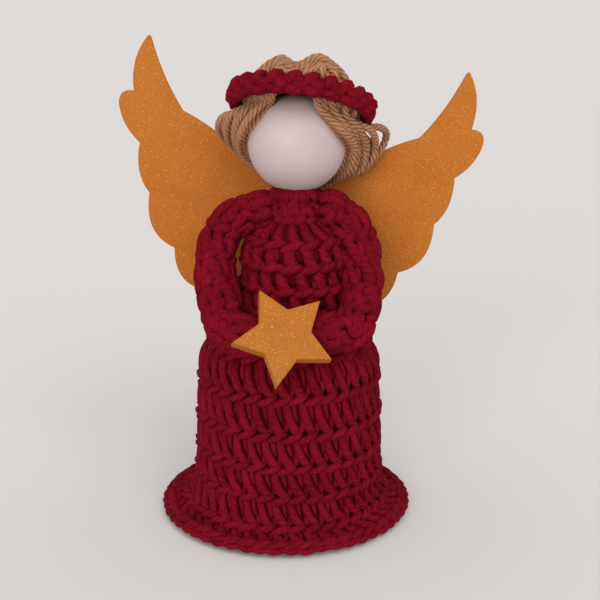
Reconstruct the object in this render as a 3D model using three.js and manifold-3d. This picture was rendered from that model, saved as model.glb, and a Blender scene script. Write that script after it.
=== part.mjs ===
// A standing crocheted angel: a round stuffed skirt with a flared hem, a bodice and two tube arms that
// hold a star, a pair of foam wings, and a wooden bead head with yarn hair and a crocheted headband.
// Millimetres, +Z up, front towards -Y, origin at the middle of the base.
// Left and right are as seen from the front.

import * as THREE from 'three';
import { mergeVertices } from 'three/addons/utils/BufferGeometryUtils.js';
import Module from 'manifold-3d';

const wasm = await Module();
wasm.setup();

// Clearance between pieces that rest on each other
const CLEARANCE = 0.3;

// Crocheted fabric: its thickness, the height of a ridge between rounds, and the rounds in each piece
const FABRIC_WALL = 3;
const ROUND_RIDGE = 0.9;
const BRIM_ROUND_COUNT = 2;
const SKIRT_ROUND_COUNT = 5;
const BODICE_ROUND_COUNT = 6;
const ARM_ROUND_COUNT = 9;

// Share of a round's height against share of its ridge: a groove, a swelling row of posts and a ridge
const ROUND_SHAPE = [[0, 0], [0.4, 0.6], [0.85, 1]];

// Base, hem and skirt
const BASE_THICKNESS = 3;
const CARD_THICKNESS = 1;
const BRIM_RADIUS = 41.5;
const BRIM_HEIGHT = 12.7;
const SKIRT_RADIUS = 30.8;
const SKIRT_TAPER = 1.5;
const SKIRT_TOP = 60.5;
const SKIRT_CORNER = 8;

// Bodice and neck
const BODICE_RADIUS = 15.5;
const CHEST_HEIGHT = 21;
const WAIST_FLARE = 1.5;
const WAIST_HEIGHT = 6;
const SHOULDER_HEIGHT = 10;
const NECK_HEIGHT = 14;
const NECK_ROOM = 1.3;
const STEM_DEPTH = 29;

// Head: a turned bead with two flats and a bore
const BEAD_RADIUS = 15;
const BEAD_FLAT_RADIUS = 5.4;
const BEAD_SINK = 1.2;
const BORE_RADIUS = 3.4;
const STEM_PLAY = 0.7;
const HEAD_TILT = 7;
const HEAD_SHIFT = 1;

// Hair: flat locks of yarn laid over the head from nape to nape, drawn in at a parting
const LOCK_COUNT = 8;
const LOCK_THICKNESS = 2.5;
const LOCK_FULLNESS = 0.82;
const PARTING_LENGTH = 23.5;
const PARTING_OFFSET = -2.6;
const PARTING_HEIGHT = 8;
const CROWN_HEIGHT_LEFT = 9.8;
const CROWN_HEIGHT_RIGHT = 12;
const CROWN_DROP = 2.5;
const CROWN_HALF_WIDTH = 5.4;
const FOREHEAD_DIP = 2.2;
const TEMPLE_DIP = 0.8;
const HAIR_BULGE_LEFT = 8;
const HAIR_BULGE_RIGHT = 10.5;
const HAIR_LENGTH = 25;
const TIE_RADIUS = 0.8;

// Levels round the cheek: height above the bead's middle, least drop from the band, and share of the bulge
const TEMPLE = { height: 6.5, drop: 3.5, bulge: 0.75 };
const CHEEK = { height: 0.5, drop: 7, bulge: 1 };
const JAW = { height: -6, drop: 10.5, bulge: 0.6 };

// Degrees from the front of the first and last lock at each level of the head
const LEFT_SWEEPS = {
  aboveBand: [27, 154], underBand: [26, 158], belowBand: [40, 156],
  temple: [58, 152], cheek: [75, 150], jaw: [110, 158], nape: [130, 170],
};
const RIGHT_SWEEPS = {
  aboveBand: [14, 154], underBand: [10, 158], belowBand: [15, 156],
  temple: [46, 152], cheek: [80, 150], jaw: [104, 158], nape: [130, 170],
};

// Headband: a crocheted ring that leans back
const BAND_KNOBS = 24;
const BAND_THICKNESS = 4;
const BAND_HEIGHT = 7.2;
const BAND_LIFT = -1.5;
const BAND_LEAN = 19;
const BAND_SCALLOP = 0.5;

// Arms: a tube along a curve from beside the neck down to the star
const ARM_RADIUS = 5.7;
const HAND_REACH_LEFT = 30;
const HAND_REACH_RIGHT = 28;
const HAND_SPACING = 3.4;
const WIRE_RADIUS = 1.1;
const WIRE_END = 0.86;

// Bends of an arm: out from the chest, forward, and the share of the way down
const ARM_BENDS = [[-1.6, 2.2, 0.15], [2, 6, 0.47], [1.6, 12, 0.79], [-2.4, 19.5, 0.98]];
const HAND_LENGTH = 9.5;
const HAND_TURN = 4.5;
const HAND_TIP = 0.14;

// Each arm's word, its side and how far forward its hand reaches
const HANDS = [['left', -1, HAND_REACH_LEFT], ['right', 1, HAND_REACH_RIGHT]];

// Star
const STAR_POINTS = 5;
const STAR_RADIUS = 15;
const STAR_INNER_RADIUS = 7.8;
const STAR_THICKNESS = 4.4;
const STAR_BEVEL = 0.4;
const STAR_SHIFT = -1;
const STAR_AHEAD = 7;
const STAR_RISE = 3.3;
const STAR_LEAN = 33;
const STAR_YAW = 10;
const STAR_SPIN = 23;
const DAB_RADIUS = 2.2;

// Wings: one symmetric foam sheet glued to the back a little askew
const WING_THICKNESS = 2;
const WING_RISE = 3.2;
const WING_ROLL = 6.5;
const GLUE_WIDTH = 16;
const GLUE_HEIGHT = 15;
const GLUE_THICKNESS = 2.2;

// The right half of the wings' edge: [end of a curve, the point that pulls it], from the bottom to the top
const WING_BOTTOM = -13;
const WING_EDGE = [
  [[17, -19.5], [9, -20]],
  [[37.4, -7], [36, -24]],
  [[47, 10.4], [48, -3.5]],
  [[51.4, 26.3], [52.5, 16]],
  [[59, 38.5], [58, 31.5]],
  [[54.5, 42.4], [59, 43]],
  [[51.6, 59.6], [56.5, 52.5]],
  [[50.2, 59.4], [51, 61]],
  [[38.3, 37.9], [45.5, 47]],
  [[11, 20.5], [25, 33]],
  [[0, 15], [5, 15.5]],
];

// Facets
const ROUND_SIDES = 40;
const SMALL_SIDES = 28;
const ARM_SIDES = 12;
const ARM_STEPS = 36;
const TUBE_STEPS = 20;
const BAND_SIDES = 8;
const LOCK_SIDES = 8;
const LOCK_STEPS = 30;
const WIRE_SIDES = 6;
const CURVE_STEPS = 6;
const ARC_STEPS = 3;

// Colours
const YARN_RED = 0x7a1424;
const YARN_CARAMEL = 0xa5714f;
const FOAM_GOLD = 0xc47a2c;
const WOOD_WHITE = 0xe6dcd8;
const WADDING = 0xece8df;
const CARD = 0xb79b78;
const WIRE = 0x8d8d90;
const GLUE = 0xd8d3c4;
const WOOD_PLAIN = 0xc9a877;

// Sizes worked out from the driving dimensions
const HALF_WALL = FABRIC_WALL / 2;
const CARD_BOTTOM = BASE_THICKNESS + CLEARANCE;
const SKIRT_BOTTOM = BRIM_HEIGHT + CLEARANCE;
const SKIRT_INNER = SKIRT_RADIUS - SKIRT_TAPER - FABRIC_WALL;
const BODICE_BOTTOM = SKIRT_TOP + CLEARANCE;
const BODICE_INNER = BODICE_RADIUS - FABRIC_WALL;
const CHEST_TOP = BODICE_BOTTOM + CHEST_HEIGHT;
const NECK_BASE = CHEST_TOP + SHOULDER_HEIGHT;
const NECK_TOP = NECK_BASE + NECK_HEIGHT;
const NECK_PIVOT = NECK_TOP - BEAD_SINK;
const STEM_RADIUS = BORE_RADIUS - STEM_PLAY;
const NECK_RADIUS = HEAD_SHIFT + STEM_RADIUS + NECK_ROOM + FABRIC_WALL;
const BEAD_HALF_HEIGHT = Math.sqrt(BEAD_RADIUS ** 2 - BEAD_FLAT_RADIUS ** 2);
const ARM_HINGE_HEIGHT = NECK_BASE + ARM_RADIUS + 2 * CLEARANCE;
const BEAD_LIFT = BEAD_HALF_HEIGHT + CLEARANCE;
const HALF_LOCK = LOCK_THICKNESS / 2;
const LOCK_RADIUS = BEAD_RADIUS + HALF_LOCK + CLEARANCE;
const BAND_CENTRE_HEIGHT = BEAD_HALF_HEIGHT + BAND_LIFT;
const BAND_HALF_WIDTH = LOCK_RADIUS + HALF_LOCK + 2 * CLEARANCE + BAND_THICKNESS / 2;
const BAND_HALF_DEPTH = BAND_HALF_WIDTH / Math.cos(THREE.MathUtils.degToRad(BAND_LEAN));
const WING_FRONT = Math.max(BODICE_RADIUS + GLUE_THICKNESS, LOCK_RADIUS + HALF_LOCK) + CLEARANCE;

const degrees = THREE.MathUtils.degToRad;
const lerp = THREE.MathUtils.lerp;

const angel = new THREE.Group();

// Adds one named piece to a group
function addPiece(parent, name, geometry, color, roughness, metalness = 0) {
  const mesh = new THREE.Mesh(geometry, new THREE.MeshStandardMaterial({ color, roughness, metalness }));
  mesh.name = name;
  parent.add(mesh);
}

// A closed geometry as a solid that can be cut
function toSolid(geometry) {
  const bare = geometry.clone();
  bare.deleteAttribute('normal');
  bare.deleteAttribute('uv');
  const merged = mergeVertices(bare, 1e-4);
  return new wasm.Manifold(new wasm.Mesh({
    numProp: 3,
    vertProperties: new Float32Array(merged.attributes.position.array),
    triVerts: new Uint32Array(merged.index.array),
  }));
}

function toGeometry(solid) {
  const mesh = solid.getMesh();
  const geometry = new THREE.BufferGeometry();
  geometry.setAttribute('position', new THREE.BufferAttribute(mesh.vertProperties, 3));
  geometry.setIndex(new THREE.BufferAttribute(mesh.triVerts, 1));
  geometry.computeVertexNormals();
  return geometry;
}

function cut(geometry, tool) {
  return toGeometry(toSolid(geometry).subtract(toSolid(tool)));
}

// Turns a profile of radius and height around the +Z axis
function revolve(points, sides) {
  return new THREE.LatheGeometry(points, sides).rotateX(Math.PI / 2);
}

// A profile point moved off its path, outwards where the offset is positive
function offPath(point, tangent, offset) {
  return new THREE.Vector2(point.x + tangent.y * offset, point.y - tangent.x * offset);
}

// The closed section of a crocheted wall whose middle follows a path, with a swell for each round
function fabricSection(path, rounds) {
  const section = [];
  const addOuter = (share, depth) => {
    section.push(offPath(path.getPointAt(share), path.getTangentAt(share), HALF_WALL - depth));
  };
  for (let round = 0; round < rounds; round++) {
    for (const [height, ridge] of ROUND_SHAPE) addOuter((round + height) / rounds, ROUND_RIDGE * (1 - ridge));
  }
  addOuter(1, ROUND_RIDGE);
  for (const curve of [...path.curves].reverse()) {
    const steps = curve.isLineCurve ? 1 : CURVE_STEPS;
    for (let step = steps; step > 0; step--) {
      section.push(offPath(curve.getPoint(step / steps), curve.getTangent(step / steps), -HALF_WALL));
    }
  }
  section.push(offPath(path.getPointAt(0), path.getTangentAt(0), -HALF_WALL));
  section.push(section[0].clone());
  return section;
}

// A closed oval tube along an open curve: halfAxes gives the section's two half axes at a step
function loft(curve, halfAxes, steps, sides) {
  const positions = [];
  const index = [];
  for (let step = 0; step <= steps; step++) {
    const centre = curve.getPointAt(step / steps);
    const [first, second] = halfAxes(step);
    for (let side = 0; side < sides; side++) {
      const angle = 2 * Math.PI * side / sides;
      const point = centre.clone()
        .addScaledVector(first, Math.cos(angle))
        .addScaledVector(second, Math.sin(angle));
      positions.push(point.x, point.y, point.z);
    }
  }
  const firstCap = positions.length / 3;
  positions.push(...curve.getPointAt(0).toArray(), ...curve.getPointAt(1).toArray());
  for (let side = 0; side < sides; side++) {
    const next = (side + 1) % sides;
    const last = steps * sides;
    for (let ring = 0; ring < last; ring += sides) {
      index.push(ring + side, ring + next, ring + sides + side);
      index.push(ring + next, ring + sides + next, ring + sides + side);
    }
    index.push(firstCap, next, side);
    index.push(firstCap + 1, last + side, last + next);
  }
  const geometry = new THREE.BufferGeometry();
  geometry.setAttribute('position', new THREE.Float32BufferAttribute(positions, 3));
  geometry.setIndex(index);
  return geometry;
}

// A round tube along an open curve, with a radius that changes with the share of its length
function roundLoft(curve, radiusAt, steps, sides) {
  const frames = curve.computeFrenetFrames(steps, false);
  const halfAxes = (step) => {
    const radius = radiusAt(step / steps);
    const normal = frames.normals[step].clone().multiplyScalar(radius);
    const binormal = frames.binormals[step].clone().multiplyScalar(radius);
    return [normal, binormal];
  };
  return loft(curve, halfAxes, steps, sides);
}

// The stretch of a curve between two shares of its length
function stretch(curve, from, to) {
  const points = [];
  for (let step = 0; step <= TUBE_STEPS; step++) {
    points.push(curve.getPointAt(lerp(from, to, step / TUBE_STEPS)));
  }
  return new THREE.CatmullRomCurve3(points);
}

// The middle of the hem's wall: from the rim on the floor, flaring up into the wall of the skirt
function brimPath() {
  const wall = SKIRT_RADIUS - HALF_WALL;
  const path = new THREE.Path();
  path.moveTo(BRIM_RADIUS - HALF_WALL, HALF_WALL);
  path.quadraticCurveTo(wall, HALF_WALL, wall, BRIM_HEIGHT);
  return path;
}

// How far out the space under the hem is a given height tall
function underBrim(height) {
  const path = brimPath();
  const fine = 200;
  for (let step = 0; step <= fine; step++) {
    const point = offPath(path.getPointAt(step / fine), path.getTangentAt(step / fine), -HALF_WALL);
    if (point.y >= height) return point.x;
  }
  return SKIRT_RADIUS - FABRIC_WALL;
}

// Base: a crocheted disc with a stiffening card on it
function addBase() {
  const radius = underBrim(BASE_THICKNESS + CLEARANCE);
  const disc = new THREE.Path();
  disc.moveTo(0, 0);
  disc.lineTo(radius - BASE_THICKNESS / 2, 0);
  disc.absarc(radius - BASE_THICKNESS / 2, BASE_THICKNESS / 2, BASE_THICKNESS / 2, -Math.PI / 2, Math.PI / 2);
  disc.lineTo(0, BASE_THICKNESS);
  addPiece(angel, 'base_disc', revolve(disc.getPoints(ARC_STEPS), ROUND_SIDES), YARN_RED, 0.9);

  const cardRadius = SKIRT_INNER - CLEARANCE;
  const card = new THREE.CylinderGeometry(cardRadius, cardRadius, CARD_THICKNESS, ROUND_SIDES);
  card.rotateX(Math.PI / 2).translate(0, 0, CARD_BOTTOM + CARD_THICKNESS / 2);
  addPiece(angel, 'base_card', card, CARD, 0.8);
}

// Hem: a flared round that the skirt stands on, with a rounded rim
function addBrim() {
  const section = fabricSection(brimPath(), BRIM_ROUND_COUNT);
  const edge = new THREE.Path();
  edge.absarc(BRIM_RADIUS - HALF_WALL, HALF_WALL, HALF_WALL, -Math.PI / 2, Math.PI / 2);
  section.splice(0, 1, ...edge.getPoints(ARC_STEPS));
  section.pop();
  section.pop();
  section.push(section[0].clone());
  addPiece(angel, 'brim', revolve(section, ROUND_SIDES), YARN_RED, 0.9);
}

// The middle of the skirt's wall, from the hem up and over the shoulder to the waist
function skirtPath() {
  const top = SKIRT_TOP - HALF_WALL;
  const topRadius = SKIRT_RADIUS - SKIRT_TAPER - HALF_WALL;
  const path = new THREE.Path();
  path.moveTo(topRadius + SKIRT_TAPER, SKIRT_BOTTOM);
  path.lineTo(topRadius, top - SKIRT_CORNER);
  path.absarc(topRadius - SKIRT_CORNER, top - SKIRT_CORNER, SKIRT_CORNER, 0, Math.PI / 2);
  path.lineTo(BODICE_INNER, top);
  return path;
}

function addSkirt() {
  const section = fabricSection(skirtPath(), SKIRT_ROUND_COUNT);
  addPiece(angel, 'skirt', revolve(section, ROUND_SIDES), YARN_RED, 0.9);

  const radius = SKIRT_INNER - CLEARANCE;
  const corner = SKIRT_CORNER - HALF_WALL - CLEARANCE;
  const top = SKIRT_TOP - FABRIC_WALL - CLEARANCE;
  const filling = new THREE.Path();
  filling.moveTo(0, CARD_BOTTOM + CARD_THICKNESS + CLEARANCE);
  filling.lineTo(radius, CARD_BOTTOM + CARD_THICKNESS + CLEARANCE);
  filling.lineTo(radius, top - corner);
  filling.absarc(radius - corner, top - corner, corner, 0, Math.PI / 2);
  filling.lineTo(0, top);
  addPiece(angel, 'skirt_filling', revolve(filling.getPoints(ARC_STEPS), SMALL_SIDES), WADDING, 1);
}

// The middle of the bodice's wall, from the waist over the shoulders to the top of the neck
function bodicePath() {
  const chest = BODICE_RADIUS - HALF_WALL;
  const neck = NECK_RADIUS - HALF_WALL;
  const path = new THREE.Path();
  const bottom = chest + WAIST_FLARE;
  const waist = BODICE_BOTTOM + WAIST_HEIGHT;
  const bend = waist - WAIST_HEIGHT / 2;
  const shoulder = (CHEST_TOP + NECK_BASE) / 2;
  path.moveTo(bottom, BODICE_BOTTOM);
  path.bezierCurveTo(bottom, bend, chest, bend, chest, waist);
  path.lineTo(chest, CHEST_TOP);
  path.bezierCurveTo(chest, shoulder, neck, shoulder, neck, NECK_BASE);
  path.lineTo(neck, NECK_TOP);
  return path;
}

// The head turns about its own axis on top of the neck
function makeHeadGroup() {
  const head = new THREE.Group();
  head.position.set(HEAD_SHIFT, 0, NECK_PIVOT);
  head.rotation.y = degrees(HEAD_TILT);
  head.updateMatrix();
  angel.add(head);
  return head;
}

// The outside of the bead from flat to flat, grown by an amount
function beadOutline(growth) {
  const radius = BEAD_RADIUS + growth;
  const flat = BEAD_HALF_HEIGHT + growth;
  const start = Math.asin(flat / radius);
  const outline = new THREE.Path();
  outline.absarc(0, 0, radius, -start, start);
  return outline.getPoints(CURVE_STEPS + 1);
}

function addBodice(head) {
  const flatBottom = -BEAD_HALF_HEIGHT - CLEARANCE;
  const seatProfile = [
    new THREE.Vector2(0, flatBottom),
    ...beadOutline(CLEARANCE),
    new THREE.Vector2(0, -flatBottom),
  ];
  const seat = revolve(seatProfile, SMALL_SIDES).translate(0, 0, BEAD_LIFT).applyMatrix4(head.matrix);
  const shell = revolve(fabricSection(bodicePath(), BODICE_ROUND_COUNT), SMALL_SIDES);
  addPiece(angel, 'bodice', cut(shell, seat), YARN_RED, 0.9);

  const radius = BODICE_INNER - CLEARANCE;
  const hole = STEM_RADIUS + CLEARANCE;
  const holeBottom = NECK_PIVOT - STEM_DEPTH - CLEARANCE;
  const bottom = SKIRT_TOP - FABRIC_WALL;
  const inside = NECK_RADIUS - FABRIC_WALL - CLEARANCE;
  const shoulder = CHEST_TOP - FABRIC_WALL;
  const filling = new THREE.Path();
  filling.moveTo(0, bottom);
  filling.lineTo(radius, bottom);
  filling.lineTo(radius, shoulder);
  filling.lineTo(inside, CHEST_TOP + CLEARANCE);
  filling.lineTo(hole, CHEST_TOP + CLEARANCE);
  filling.lineTo(hole, holeBottom);
  filling.lineTo(0, holeBottom);
  addPiece(angel, 'bodice_filling', revolve(filling.getPoints(), SMALL_SIDES), WADDING, 1);
}

// A peg that stands in the bodice and leans with the head where it enters the bead
function addStem(head) {
  const alongHead = (height) => new THREE.Vector3(0, 0, height).applyMatrix4(head.matrix);
  const route = new THREE.CatmullRomCurve3([
    new THREE.Vector3(0, 0, NECK_PIVOT - STEM_DEPTH),
    new THREE.Vector3(0, 0, NECK_PIVOT - STEM_DEPTH / 2),
    new THREE.Vector3(0, 0, NECK_PIVOT - STEM_RADIUS),
    alongHead(STEM_RADIUS),
    alongHead(BEAD_LIFT),
    alongHead(BEAD_LIFT + BEAD_HALF_HEIGHT - CLEARANCE),
  ]);
  addPiece(angel, 'neck_stem', roundLoft(route, () => STEM_RADIUS, TUBE_STEPS, ARM_SIDES), WOOD_PLAIN, 0.6);
}

function addBead(head) {
  const outline = beadOutline(0);
  const bore = [
    new THREE.Vector2(BORE_RADIUS, BEAD_HALF_HEIGHT),
    new THREE.Vector2(BORE_RADIUS, -BEAD_HALF_HEIGHT),
  ];
  const section = [...outline, ...bore, outline[0].clone()];
  const bead = revolve(section, ROUND_SIDES).translate(0, 0, BEAD_LIFT);
  addPiece(head, 'head_bead', bead, WOOD_WHITE, 0.6);
}

// A point around the bead's middle: degrees from the front, distance from the axis, height
function aroundHead(fromFront, radius, height) {
  const angle = degrees(fromFront);
  return new THREE.Vector3(radius * Math.sin(angle), -radius * Math.cos(angle), BEAD_LIFT + height);
}

// Height of the headband's middle above the bead's middle, high at the front and low at the back
function bandHeight(fromFront, radius) {
  return BAND_CENTRE_HEIGHT + radius * Math.cos(degrees(fromFront)) * Math.tan(degrees(BAND_LEAN));
}

// One half of a lock, from the parting over the crown, under the band, round the cheek and to the nape
function halfLock(share, side) {
  const sweeps = side < 0 ? LEFT_SWEEPS : RIGHT_SWEEPS;
  const crownHeight = side < 0 ? CROWN_HEIGHT_LEFT : CROWN_HEIGHT_RIGHT;
  const bulge = (side < 0 ? HAIR_BULGE_LEFT : HAIR_BULGE_RIGHT) * Math.sin(Math.PI * share) ** 2;
  const alongParting = (share - 0.5) * PARTING_LENGTH;
  const top = BEAD_LIFT + BEAD_HALF_HEIGHT - CROWN_DROP * (2 * share - 1) ** 2;
  const band = bandHeight(lerp(...sweeps.underBand, share), LOCK_RADIUS);
  const clear = BAND_HEIGHT / 2 + HALF_LOCK;
  const below = band - clear;
  const at = (sweep, radius, height) => aroundHead(side * lerp(...sweep, share), radius, height);
  const beside = (sweep, level, dip) => {
    const radius = LOCK_RADIUS - dip * (1 - share) + level.bulge * bulge;
    return at(sweep, radius, Math.min(level.height, below - level.drop));
  };
  return [
    new THREE.Vector3(PARTING_OFFSET, alongParting, top + PARTING_HEIGHT),
    new THREE.Vector3(PARTING_OFFSET + side * CROWN_HALF_WIDTH, alongParting, top + crownHeight),
    at(sweeps.aboveBand, LOCK_RADIUS - 2 * CLEARANCE, band + clear),
    at(sweeps.underBand, LOCK_RADIUS - CLEARANCE, band),
    at(sweeps.belowBand, LOCK_RADIUS - CLEARANCE - FOREHEAD_DIP * (1 - share) ** 2, below),
    beside(sweeps.temple, TEMPLE, TEMPLE_DIP),
    beside(sweeps.cheek, CHEEK, 0),
    beside(sweeps.jaw, JAW, 0),
    at(sweeps.nape, LOCK_RADIUS - CLEARANCE, BEAD_HALF_HEIGHT - HAIR_LENGTH),
  ];
}

function lockRoute(share) {
  const left = halfLock(share, -1).slice(1).reverse();
  return new THREE.CatmullRomCurve3([...left, ...halfLock(share, 1)]);
}

// A flat lock that fills its place beside the next one and is pulled to a blunt point at both ends
function lockGeometry(lock) {
  const spacing = 1 / (LOCK_COUNT - 1);
  const route = lockRoute(lock * spacing);
  const beside = [lock - 1, lock + 1].filter((other) => other >= 0 && other < LOCK_COUNT);
  const neighbours = beside.flatMap((other) => lockRoute(other * spacing).getSpacedPoints(3 * LOCK_STEPS));
  const middle = new THREE.Vector3(0, 0, BEAD_LIFT);
  const halfAxes = (step) => {
    const share = step / LOCK_STEPS;
    const point = route.getPointAt(share);
    const tangent = route.getTangentAt(share);
    const outwards = point.clone().sub(middle).projectOnPlane(tangent).normalize();
    const across = outwards.clone().cross(tangent);
    const end = Math.min(1, 0.5 + 10 * Math.min(share, 1 - share));
    const room = Math.min(...neighbours.map((other) => other.distanceTo(point))) / 2;
    const width = end * LOCK_FULLNESS * room;
    return [across.multiplyScalar(width), outwards.multiplyScalar(Math.min(width, end * HALF_LOCK))];
  };
  return loft(route, halfAxes, LOCK_STEPS, LOCK_SIDES);
}

function addHair(head) {
  for (let lock = 0; lock < LOCK_COUNT; lock++) {
    const name = `hair_lock_${String(lock + 1).padStart(2, '0')}`;
    addPiece(head, name, lockGeometry(lock), YARN_CARAMEL, 0.85);
  }

  const under = BEAD_LIFT + BEAD_HALF_HEIGHT + CLEARANCE;
  const top = BEAD_LIFT + BEAD_HALF_HEIGHT + PARTING_HEIGHT - CROWN_DROP - HALF_LOCK - CLEARANCE;
  const side = LOCK_RADIUS - 2 * LOCK_THICKNESS;
  const core = new THREE.Path();
  core.moveTo(0, under);
  core.lineTo(side - 3 * HALF_LOCK, under);
  core.quadraticCurveTo(side, under, side, (under + top) / 2);
  core.quadraticCurveTo(side, top, side - 3 * HALF_LOCK, top);
  core.lineTo(0, top);
  addPiece(head, 'hair_core', revolve(core.getPoints(ARC_STEPS), SMALL_SIDES), YARN_CARAMEL, 0.9);

  const tieHeight = (share) => halfLock(share, 1)[0].z + HALF_LOCK + TIE_RADIUS + CLEARANCE;
  const reach = PARTING_LENGTH / 2 + LOCK_THICKNESS + TIE_RADIUS;
  const tieRoute = new THREE.CatmullRomCurve3([
    new THREE.Vector3(PARTING_OFFSET, -reach, tieHeight(0) - 3 * HALF_LOCK),
    new THREE.Vector3(PARTING_OFFSET, -reach + TIE_RADIUS / 3, tieHeight(0) - TIE_RADIUS / 3),
    new THREE.Vector3(PARTING_OFFSET, 0, tieHeight(0.5) + TIE_RADIUS),
    new THREE.Vector3(PARTING_OFFSET, reach - TIE_RADIUS / 3, tieHeight(1) - TIE_RADIUS / 3),
    new THREE.Vector3(PARTING_OFFSET, reach, tieHeight(1) - 3 * HALF_LOCK),
  ]);
  const tie = roundLoft(tieRoute, () => TIE_RADIUS, TUBE_STEPS, WIRE_SIDES);
  addPiece(head, 'hair_tie', tie, YARN_CARAMEL, 0.85);
}

// A ring of plump stitches: an oval section swept around, pinched between stitches
function addHeadband(head) {
  const steps = BAND_KNOBS * 3;
  const lean = degrees(BAND_LEAN);
  const positions = [];
  const index = [];
  for (let step = 0; step < steps; step++) {
    const angle = 2 * Math.PI * step / steps;
    const pinch = BAND_SCALLOP * (1 - Math.cos(BAND_KNOBS * angle)) / 2;
    for (let side = 0; side < BAND_SIDES; side++) {
      const turn = 2 * Math.PI * side / BAND_SIDES;
      const outwards = (BAND_THICKNESS / 2 - pinch) * Math.cos(turn);
      const up = (BAND_HEIGHT / 2 - pinch) * Math.sin(turn);
      const x = (BAND_HALF_WIDTH + outwards) * Math.sin(angle);
      const y = -(BAND_HALF_DEPTH + outwards) * Math.cos(angle);
      positions.push(x, y * Math.cos(lean) + up * Math.sin(lean));
      positions.push(BEAD_LIFT + BAND_CENTRE_HEIGHT - y * Math.sin(lean) + up * Math.cos(lean));
      const nextStep = (step + 1) % steps;
      const nextSide = (side + 1) % BAND_SIDES;
      const here = step * BAND_SIDES;
      const ahead = nextStep * BAND_SIDES;
      index.push(here + side, ahead + side, here + nextSide);
      index.push(ahead + side, ahead + nextSide, here + nextSide);
    }
  }
  const geometry = new THREE.BufferGeometry();
  geometry.setAttribute('position', new THREE.Float32BufferAttribute(positions, 3));
  geometry.setIndex(index);
  addPiece(head, 'headband', geometry, YARN_RED, 0.9);
}

// How high the middle of an arm lies where it rests on the rounded shoulder of the skirt
function armRest() {
  const [lastOut, lastForward] = ARM_BENDS.at(-1);
  const radius = Math.hypot(BODICE_RADIUS + ARM_RADIUS + lastOut, lastForward);
  const cornerRadius = SKIRT_RADIUS - SKIRT_TAPER - HALF_WALL - SKIRT_CORNER;
  const cornerHeight = SKIRT_TOP - HALF_WALL - SKIRT_CORNER;
  const apart = SKIRT_CORNER + HALF_WALL + ARM_RADIUS + CLEARANCE;
  return cornerHeight + Math.sqrt(apart ** 2 - Math.max(0, radius - cornerRadius) ** 2);
}

// The middle line of an arm, with one spare point inside the neck so that its bore runs out there
function armRoute(side, reach) {
  const top = ARM_HINGE_HEIGHT;
  const start = NECK_RADIUS + 2 * CLEARANCE;
  const chest = BODICE_RADIUS + ARM_RADIUS;
  const rest = armRest();
  const points = [
    [start - ARM_RADIUS, 0, top],
    [start, 0, top],
    [start + ARM_RADIUS, 0, top],
    ...ARM_BENDS.map(([out, forward, down]) => [chest + out, forward, lerp(top, rest, down)]),
    [chest - HAND_LENGTH, reach - HAND_TURN, rest],
    [HAND_SPACING / 2, reach, rest],
  ];
  return new THREE.CatmullRomCurve3(points.map(([out, forward, up]) => {
    return new THREE.Vector3(side * out, -forward, up);
  }));
}

// The share of an arm's route at which the arm itself starts, at the second point of the route
function armStart(route) {
  const fine = 50;
  const spans = route.points.length - 1;
  const lengths = route.getLengths(fine * spans);
  return lengths[fine] / lengths[fine * spans];
}

// The share of an arm's route at which its rounded hand starts
function handStart(route) {
  return 1 - ARM_RADIUS / route.getLength();
}

// Rounds of posts along the arm, closed in a rounded hand
function armRadius(share, hand) {
  const round = (share * ARM_ROUND_COUNT) % 1;
  const groove = ROUND_RIDGE * Math.abs(2 * round - 1) / 2;
  const pastHand = Math.max(0, share - hand) / (1 - hand);
  return lerp(HAND_TIP, 1, Math.sqrt(1 - pastHand ** 2)) * (ARM_RADIUS - groove);
}

function addArms() {
  for (const [word, side, reach] of HANDS) {
    const route = armRoute(side, reach);
    const start = armStart(route);
    const boreRadius = WIRE_RADIUS + 2 * CLEARANCE;
    const bore = roundLoft(stretch(route, 0, WIRE_END), () => boreRadius, TUBE_STEPS, WIRE_SIDES);
    const middle = stretch(route, start, 1);
    const hand = handStart(middle);
    const tube = roundLoft(middle, (share) => armRadius(share, hand), ARM_STEPS, ARM_SIDES);
    addPiece(angel, `${word}_arm`, cut(tube, bore), YARN_RED, 0.9);
    const wireEnd = WIRE_END - CLEARANCE / route.getLength();
    const wire = roundLoft(stretch(route, start, wireEnd), () => WIRE_RADIUS, TUBE_STEPS, WIRE_SIDES);
    addPiece(angel, `${word}_arm_wire`, wire, WIRE, 0.4, 0.8);
  }
}

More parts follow.
